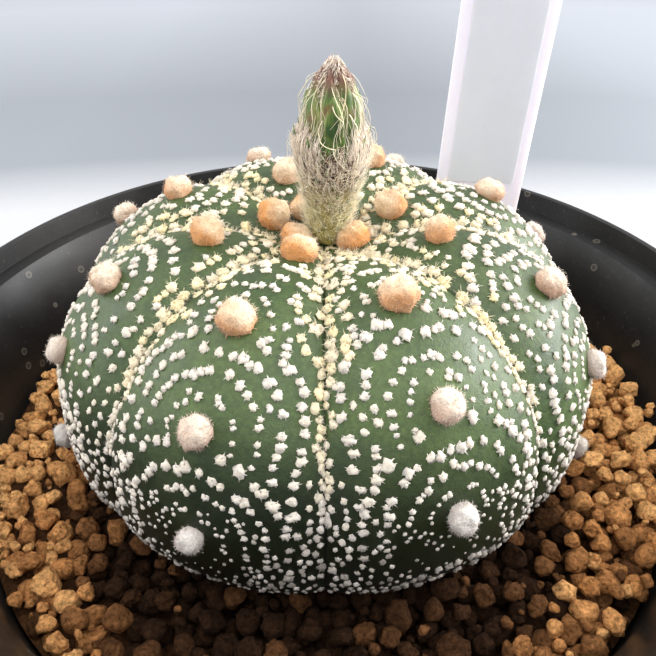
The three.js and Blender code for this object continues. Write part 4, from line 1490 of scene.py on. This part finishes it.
class Heap:
    """Granules dropped one after another: each comes to rest on the bed or on those below it."""

    def __init__(self, draw, obstacles):
        self.draw = draw
        self.obstacles = obstacles
        self.centres, self.radii = [], []

    def rest_height(self, x, y, radius):
        """The height at which a granule let down at x, y stops."""
        height = BED_Z + radius * 0.5
        if self.centres:
            centres, radii = np.array(self.centres), np.array(self.radii)
            gap = np.hypot(centres[:, 0] - x, centres[:, 1] - y)
            reach = (radii + radius) * PACKING
            near = gap < reach
            if near.any():
                height = max(height, (centres[near, 2] + np.sqrt(reach[near] ** 2 - gap[near] ** 2)).max())
        return height

    def fits(self, x, y, z, radius):
        """Whether a granule there keeps off the wall, the body and the label."""
        if math.hypot(x, y) + radius * 0.9 > pot_inner_r(z) - 0.3 * MM:
            return False
        label_x = LABEL_X + math.tan(LABEL_LEAN) * (z - EQUATOR_Z)
        if abs(y - LABEL_Y) < radius * 0.8 + 0.7 * MM and abs(x - label_x) < radius * 0.8 + LABEL_WIDTH / 2:
            return False
        return self.obstacles.find((x, y, z))[2] > radius * 0.85 + 0.5 * MM

    def drop(self, radius, tries):
        """Lets a granule down where it lies lowest of several tries; gives its centre, or None."""
        best, lowest = None, math.inf
        for _ in range(tries):
            turn = self.draw.uniform(0, TURN)
            out = math.sqrt(self.draw.uniform(HEAP_INNER_R**2, pot_inner_r(BED_Z) ** 2))
            x, y = out * math.sin(turn), -out * math.cos(turn)
            z = self.rest_height(x, y, radius)
            level = z + float(HEAP_TILT @ (x, y))
            if level < min(HEAP_TOP, lowest) and self.fits(x, y, z, radius):
                best, lowest = (x, y, z), level
        if best:
            self.centres.append(best)
            self.radii.append(radius)
        return best


def granule_tint(draw, x, y, z):
    """A granule's tone: painted shade makes it darker under the body, most in front, and lower in the heap, and
    painted light makes it paler at both sides away from the front; the rest differs at random.
    """
    out = math.hypot(x, y)
    # Painted shade under the body, reaching furthest in front, and lower in the heap; painted light at the sides.
    shade = 11 * MM * max(0.0, -(0.05 * x + y) / out) ** 4
    painted_shade_under_body = float(np.interp(out - shade, (39 * MM, 46 * MM), (0.6, 0)))
    deep = float(np.interp(z + HEAP_TILT @ (x, y), (BED_Z, HEAP_TOP), (0.45, -0.1)))
    painted_side_light = 0.5 * float(np.interp(abs(x), (0, 50 * MM), (0, 1)) * np.interp(y, (-36 * MM, -10 * MM), (0, 1)))
    return min(0.98, max(0.02, draw.gauss(0.6, 0.17 - 0.15 * painted_shade_under_body) + painted_side_light - painted_shade_under_body - deep))


def body_obstacles():
    """Points all over the body's skin and its low areoles, for keeping granules off them."""
    azimuths, places = np.meshgrid(np.linspace(0, TURN, 241), np.linspace(0.8, 1.8, 61))
    points = on_skin(azimuths.ravel(), places.ravel(), 0.3 * MM)
    lows = [spot for spot, (_, place) in zip(AREOLE_SPOTS, AREOLES) if place > 0.8]
    tree = KDTree(len(points) + 9 * len(lows))
    for index, point in enumerate(points):
        tree.insert(point, index)
    index = len(points)
    for spot in lows:
        side = Vector((spot[0], spot[1], 0)).normalized()
        for k in range(9):
            tree.insert(Vector(spot) + side * (0.5 * k * MM), index)
            index += 1
    tree.balance()
    return tree


class STAR_CACTUS_OT_soil(bpy.types.Operator):
    """Fills the pot with a bed and heaps loose clay granules on it"""

    bl_idname = "star_cactus.soil"
    bl_label = "Soil"

    def execute(self, context):
        """Builds the bed and the granules, in four meshes by quarter."""
        settings = context.scene.cactus_soil
        material = clay_material(settings)
        draw = random.Random(SOIL_SEED)
        self.build_bed(material)
        large = [granule_shape(number, draw, 3) for number in range(GRANULE_SHAPES)]
        small = [granule_shape(number, draw, 2) for number in range(CRUMB_SHAPES)]
        heap = Heap(draw, body_obstacles())
        quarters = {name: [] for name in QUARTERS}
        for index in range(settings.granules + settings.crumbs):
            crumb = index >= settings.granules
            radius = draw.uniform(0.4, 0.95) * MM if crumb else settings.size / 2 * draw.uniform(0.72, 1.32)
            spot = heap.drop(radius, CRUMB_TRIES if crumb else GRANULE_TRIES)
            if spot is None:
                continue
            deep_down = index < DEEP_SHARE * settings.granules
            shape = draw.choice(small if crumb or deep_down else large)
            turn = Matrix.Rotation(draw.uniform(0, TURN), 3, "Z") @ Matrix.Rotation(draw.uniform(0, 3), 3, "X")
            quarter = QUARTERS[int((math.atan2(spot[0], -spot[1]) / TURN * 4 + 0.5) % 4)]
            quarters[quarter].append((*placed(shape, [2 * radius] * 3, turn, spot), granule_tint(draw, *spot)))
        for name, parts in quarters.items():
            hand_over(merged(f"granules_{name}", parts), "clay_granules", material)
        return {"FINISHED"}

    def build_bed(self, material):
        """Builds the soil's solid body, hollowed for the cactus and its root."""
        wall = 0.35 * MM
        under = [(float(r) + wall, float(z) - 2 * wall) for r, z in (outline(place) for place in (1.7, 1.76, 1.82))]
        shaft = [(r * MM + 2 * wall, EQUATOR_Z + z * MM) for r, z in ROOT_PATH]
        top = [(pot_inner_r(BED_Z) - wall, BED_Z), (48 * MM, BED_Z), (38 * MM, BED_Z), (24 * MM, BED_Z)]
        foot = [(0.5 * MM, FLOOR_Z + wall), (FLOOR_R - wall, FLOOR_Z + wall)]
        sides = [(pot_inner_r(z) - wall, z) for z in (30 * MM, 60 * MM)]
        tip = [(0.5 * MM, EQUATOR_Z + ROOT_TIP - wall)]
        bed = turned("soil_bed", foot + sides + top + under + shaft + tip, 96)
        close_holes()
        hand_over(bed, "clay_granules", material, "soil")
        out = [math.hypot(corner.co.x, corner.co.y) for corner in bed.data.vertices]
        # Painted shade: the bed is near black between the granules, a little lighter by the pot's wall.
        keep(bed, "tint", np.interp(out, (42 * MM, 50 * MM), (0.0, 0.1)))


# The pot


def pot_material(settings):
    """Black moulded plastic with dust, faint rubbing marks and the rings of dried drops."""
    material, tree, shader = new_material("pot_plastic", settings.roughness, 0.26)
    spots = add(tree, "ShaderNodeTexVoronoi", {"Vector": object_place(tree), "Scale": 250}).outputs
    ring = ramp(tree, spots["Distance"], (0.1, 0.2), (0.15, 0.9), (0.19, 0.0))
    drops = times(tree, ring, ramp(tree, spots["Color"], (0.52, 0.0), (0.55, 1.0)))
    dust = ramp(tree, cloud(tree, 0.35 * MM, 5, 0.8), (0.6, 0.0), (0.74, 0.7))
    film = ramp(tree, cloud(tree, 16 * MM, 4, 0.6), (0.4, 0.03), (0.75, 0.16))
    veil = mix(tree, 1.0, mix(tree, 1.0, drops, dust, "ADD"), film, "ADD")
    amount = math_node(tree, "MULTIPLY", veil, 0.42, clamp=True)
    paint(tree, shader, mix(tree, amount, settings.plastic, settings.dust))
    scuffs = ((0.3, settings.roughness - 0.1), (0.75, settings.roughness + 0.14))
    paint(tree, shader, ramp(tree, cloud(tree, 5 * MM, 5, 0.7), *scuffs), "Roughness")
    relief(tree, shader, cloud(tree, 0.5 * MM, 3, 0.6), 0.03 * MM, 0.5)
    return material


class STAR_CACTUS_OT_pot(bpy.types.Operator):
    """Draws the pot's wall out of a ring, drills its drains and softens its edges"""

    bl_idname = "star_cactus.pot"
    bl_label = "Pot"

    def execute(self, context):
        """Builds the pot in place of the part's faceted one."""
        foot_r, lip_r = FLOOR_R + WALL, RIM_R - LIP_WIDTH
        profile = (
            (DRAIN_R, FOOT_RISE),
            (foot_r - FOOT_WIDTH, FOOT_RISE),
            (foot_r - FOOT_WIDTH, 0),
            (foot_r - FOOT_EDGE, 0),
            (foot_r, FOOT_EDGE),
            (SHOULDER_R + WALL, SHOULDER_Z),
            (LEDGE_R + COLLAR_WALL, MOUTH_Z - WALL),
            (RIM_R - COLLAR_WALL, MOUTH_Z - WALL),
            (RIM_R - COLLAR_WALL - COLLAR_TAPER, COLLAR_Z),
            (RIM_R - COLLAR_TAPER, COLLAR_Z),
            (RIM_R, POT_HEIGHT - LIP_EDGE),
            (RIM_R - LIP_EDGE, POT_HEIGHT),
            (lip_r, POT_HEIGHT),
            (lip_r - LEDGE_DRAFT, MOUTH_Z),
            (LEDGE_R, MOUTH_Z - LEDGE_DRAFT),
            (SHOULDER_R, SHOULDER_Z),
            (FLOOR_R, FLOOR_Z),
            (DRAIN_R, FLOOR_Z),
            (DRAIN_R, FOOT_RISE),
        )
        drill = self.drills()
        pot = turned("pot_shell", profile, 192)
        close_seams()
        cut = pot.modifiers.new("drains", "BOOLEAN")
        cut.operation = "DIFFERENCE"
        cut.solver = "EXACT"
        cut.object = drill
        soften(pot, 0.35 * MM, 25)
        bpy.data.objects.remove(drill)
        bpy.ops.object.shade_smooth_by_angle(angle=math.radians(32))
        hand_over(pot, "pot_plastic", pot_material(context.scene.cactus_pot), "pot")
        return {"FINISHED"}

    def drills(self):
        """A ring of drills for the side drains, as one object."""
        shape = take_shape(
            begin("drill", bpy.ops.mesh.primitive_cylinder_add, vertices=32, radius=SIDE_DRAIN_R, depth=20 * MM)
        )
        parts = []
        for index in range(SIDE_DRAINS):
            turn = index * TURN / SIDE_DRAINS
            spot = (SIDE_DRAIN_RING_R * math.sin(turn), -SIDE_DRAIN_RING_R * math.cos(turn), 0)
            parts.append((*placed(shape, (1, 1, 1), np.eye(3), spot), 0.0))
        return merged("drills", parts, smooth=False)


# The label


def label_material(name, tone, roughness):
    """Smooth white plastic with a faint grain and slight marks."""
    material, tree, shader = new_material(name, roughness, 0.45, subsurface=0.6, scatter=2 * MM)
    shade = ramp(tree, cloud(tree, 9 * MM, 4, 0.6), (0.3, 0.94), (0.75, 1.02))
    speck = ramp(tree, cloud(tree, 0.3 * MM, 4, 0.7), (0.62, 1.0), (0.78, 0.86))
    paint(tree, shader, times(tree, tone, shade, speck))
    relief(tree, shader, cloud(tree, 0.4 * MM, 3), 0.015 * MM, 0.5)
    return material


def lean_label(piece):
    """Leans a label piece drawn upright over the tip's foot, and moves it to its place."""
    foot_x = LABEL_X - math.tan(LABEL_LEAN) * (EQUATOR_Z - LABEL_TIP_Z)
    turn = Matrix.Translation((foot_x, LABEL_Y, LABEL_TIP_Z)) @ Matrix.Rotation(LABEL_LEAN, 4, "Y")
    piece.data.transform(turn)


def block_at(name, size, spot):
    """A block of a size at a spot, with its place and size in its mesh."""
    piece = begin(name, bpy.ops.mesh.primitive_cube_add, size=1, location=spot)
    bpy.ops.transform.resize(value=size)
    bpy.ops.object.transform_apply(location=True, rotation=True, scale=True)
    return piece


def round_corners(piece, width, lowest):
    """Rounds the active piece's corners whose edges run along Y above a height."""
    corners = piece.data.vertices

    def along_y(edge):
        """Whether an edge runs along Y above the height."""
        a, b = (corners[index].co for index in edge.vertices)
        return abs(a.x - b.x) < 1e-7 and abs(a.z - b.z) < 1e-7 and a.z > lowest

    with Editing("EDGE", along_y):
        bpy.ops.mesh.bevel(offset=width, segments=6, affect="EDGES")


class STAR_CACTUS_OT_label(bpy.types.Operator):
    """Cuts the pointed plant label and its blank strip"""

    bl_idname = "star_cactus.label"
    bl_label = "Plant label"

    def execute(self, context):
        """Builds the label and the strip in place of the part's plain ones."""
        settings = context.scene.cactus_label
        height = LABEL_TOP_Z - LABEL_TIP_Z
        size = (LABEL_WIDTH, settings.thickness, height - LABEL_POINT)
        label = block_at("label_blade", size, (0, 0, (height + LABEL_POINT) / 2))
        with Editing("FACE", lambda face: face.normal.z < -0.9):
            bpy.ops.mesh.extrude_region_move(TRANSFORM_OT_translate={"value": (0, 0, -LABEL_POINT)})
            bpy.ops.transform.resize(value=(0.05, 1, 1), center_override=(0, 0, 0))
        round_corners(label, 2 * MM, height - 1 * MM)
        soften(label, 0.12 * MM, 40)
        bpy.ops.object.shade_smooth_by_angle(angle=math.radians(35))
        lean_label(label)
        plastic = label_material("label_plastic", settings.plastic, 0.36)
        hand_over(label, "label_plastic", plastic, "plant_label")
        self.build_strip(settings)
        return {"FINISHED"}

    def build_strip(self, settings):
        """Builds the thin blank strip on the label's front."""
        low, high = STRIP_FOOT, LABEL_TOP_Z - LABEL_TIP_Z - STRIP_GAP
        front = -settings.thickness / 2 - 0.14 * MM
        size = (LABEL_WIDTH - 4 * MM, 0.2 * MM, high - low)
        strip = block_at("label_strip", size, (0, front, (low + high) / 2))
        round_corners(strip, 0.5 * MM, 0)
        lean_label(strip)
        film = label_material("label_film", settings.strip, 0.24)
        hand_over(strip, "label_tape", film, "label_tape")


# The stage


# Each lamp's spot and width, and each darker side of the sky with the span over which it darkens.
LAMPS = {
    "key": ((-0.05, 0.12, 1.0), 1.2),
    "front": ((0.05, -0.55, 0.85), 0.8),
    "window": ((0.74, 0.2, 0.38), 0.5),
    "side": ((-0.72, 0.2, 0.42), 0.5),
}
DARK_SIDES = {"room": ((0, -0.94, 0.34), 0.55, 0.94), "back": ((0, 0.85, 0.53), 0.5, 0.9)}


def floor_distance(tree, **mapping):
    """Distance on the floor, after the place is moved and stretched."""
    place = add(tree, "ShaderNodeMapping", {"Vector": object_place(tree), **mapping}).outputs["Vector"]
    return add(tree, "ShaderNodeVectorMath", {0: place}, operation="LENGTH").outputs["Value"]


def floor_material(settings):
    """Pale matt floor with painted shade: greyer half-way to its far end and straight behind the pot."""
    material, tree, shader = new_material("floor", 0.6, 0.3)
    far = floor_distance(tree, Scale=(0.6, 1, 1))
    middle = settings.floor_middle
    tone = ramp(tree, far, (0.27, settings.floor_near), (0.335, middle), (0.46, middle), (0.8, settings.floor))
    # Painted shade: darker straight behind the pot, paler to each side.
    aside = floor_distance(tree, Location=(-0.04, 0, 0), Scale=(1, 0, 0))
    grain = cloud(tree, 2 * MM, 3)
    aside, grain = ramp(tree, aside, (0.0, 0.88), (0.22, 1.12)), ramp(tree, grain, (0.3, 0.985), (0.7, 1.01))
    paint(tree, shader, times(tree, tone, aside, grain))
    return material


class STAR_CACTUS_OT_stage(bpy.types.Operator):
    """Lays the pale floor and hangs the soft lights"""

    bl_idname = "star_cactus.stage"
    bl_label = "Stage"

    def execute(self, context):
        """Builds the floor, the lamps and the light from all round."""
        settings = context.scene.cactus_stage
        floor = begin("floor", bpy.ops.mesh.primitive_circle_add, vertices=96, radius=6, fill_type="NGON")
        floor.data.materials.append(floor_material(settings))
        for name, (spot, size) in LAMPS.items():
            self.lamp(name, spot, size, getattr(settings, f"{name}_power"))
        self.light_sky(context.scene, settings)
        context.scene.view_settings.view_transform = "Standard"
        return {"FINISHED"}

    def light_sky(self, scene, settings):
        """Lights the scene softly from all round, but less from the front and the back."""
        world = bpy.data.worlds.new("sky")
        scene.world = world
        world.use_nodes = True
        tree = world.node_tree
        way = tree.nodes.new("ShaderNodeTexCoord").outputs["Generated"]
        tone = settings.sky
        for name, (side, first, last) in DARK_SIDES.items():
            facing = add(tree, "ShaderNodeVectorMath", {0: way, 1: side}, operation="DOT_PRODUCT").outputs["Value"]
            tone = times(tree, tone, ramp(tree, facing, (first, 1.0), (last, getattr(settings, name))))
        sky = tree.nodes["Background"]
        tree.links.new(tone, sky.inputs["Color"])
        sky.inputs["Strength"].default_value = settings.sky_strength

    def lamp(self, name, spot, size, power):
        """Hangs one square soft lamp that faces the body's crown."""
        aim = Vector((0, 0, EQUATOR_Z)) - Vector(spot)
        turn = aim.to_track_quat("-Z", "Y").to_euler()
        bpy.ops.object.select_all(action="DESELECT")
        bpy.ops.object.light_add(type="AREA", location=spot, rotation=turn)
        lamp = bpy.context.active_object
        lamp.name = name
        lamp.data.size = size
        lamp.data.energy = power


# The panel


OPERATORS = (
    STAR_CACTUS_OT_camera,
    STAR_CACTUS_OT_pot,
    STAR_CACTUS_OT_skin,
    STAR_CACTUS_OT_flecks,
    STAR_CACTUS_OT_areoles,
    STAR_CACTUS_OT_bud,
    STAR_CACTUS_OT_soil,
    STAR_CACTUS_OT_label,
    STAR_CACTUS_OT_stage,
)


class STAR_CACTUS_PT_panel(bpy.types.Panel):
    """Lists the settings and the pieces in the 3D view's sidebar"""

    bl_idname = "STAR_CACTUS_PT_panel"
    bl_label = "Potted star cactus"
    bl_space_type = "VIEW_3D"
    bl_region_type = "UI"
    bl_category = "Star cactus"

    def draw(self, context):
        """Draws each group of settings, then a button for each operator."""
        for name, group in GROUPS.items():
            box = self.layout.box()
            box.label(text=group.__doc__)
            for field in group.__annotations__:
                box.prop(getattr(context.scene, name), field)
        for operator in OPERATORS:
            self.layout.operator(operator.bl_idname)


def register():
    """Registers the settings, the operators and the panel."""
    for name, group in GROUPS.items():
        bpy.utils.register_class(group)
        setattr(bpy.types.Scene, name, bpy.props.PointerProperty(type=group))
    for made in (*OPERATORS, STAR_CACTUS_PT_panel):
        bpy.utils.register_class(made)


def unregister():
    """Takes the panel, the operators and the settings out again."""
    for made in (STAR_CACTUS_PT_panel, *reversed(OPERATORS)):
        bpy.utils.unregister_class(made)
    for name, group in GROUPS.items():
        delattr(bpy.types.Scene, name)
        bpy.utils.unregister_class(group)


def main():
    """Registers the settings, the operators and the panel, then builds every piece in order."""
    register()
    for operator in OPERATORS:
        group, name = operator.bl_idname.split(".")
        getattr(getattr(bpy.ops, group), name)()


if __name__ == "__main__":
    main()
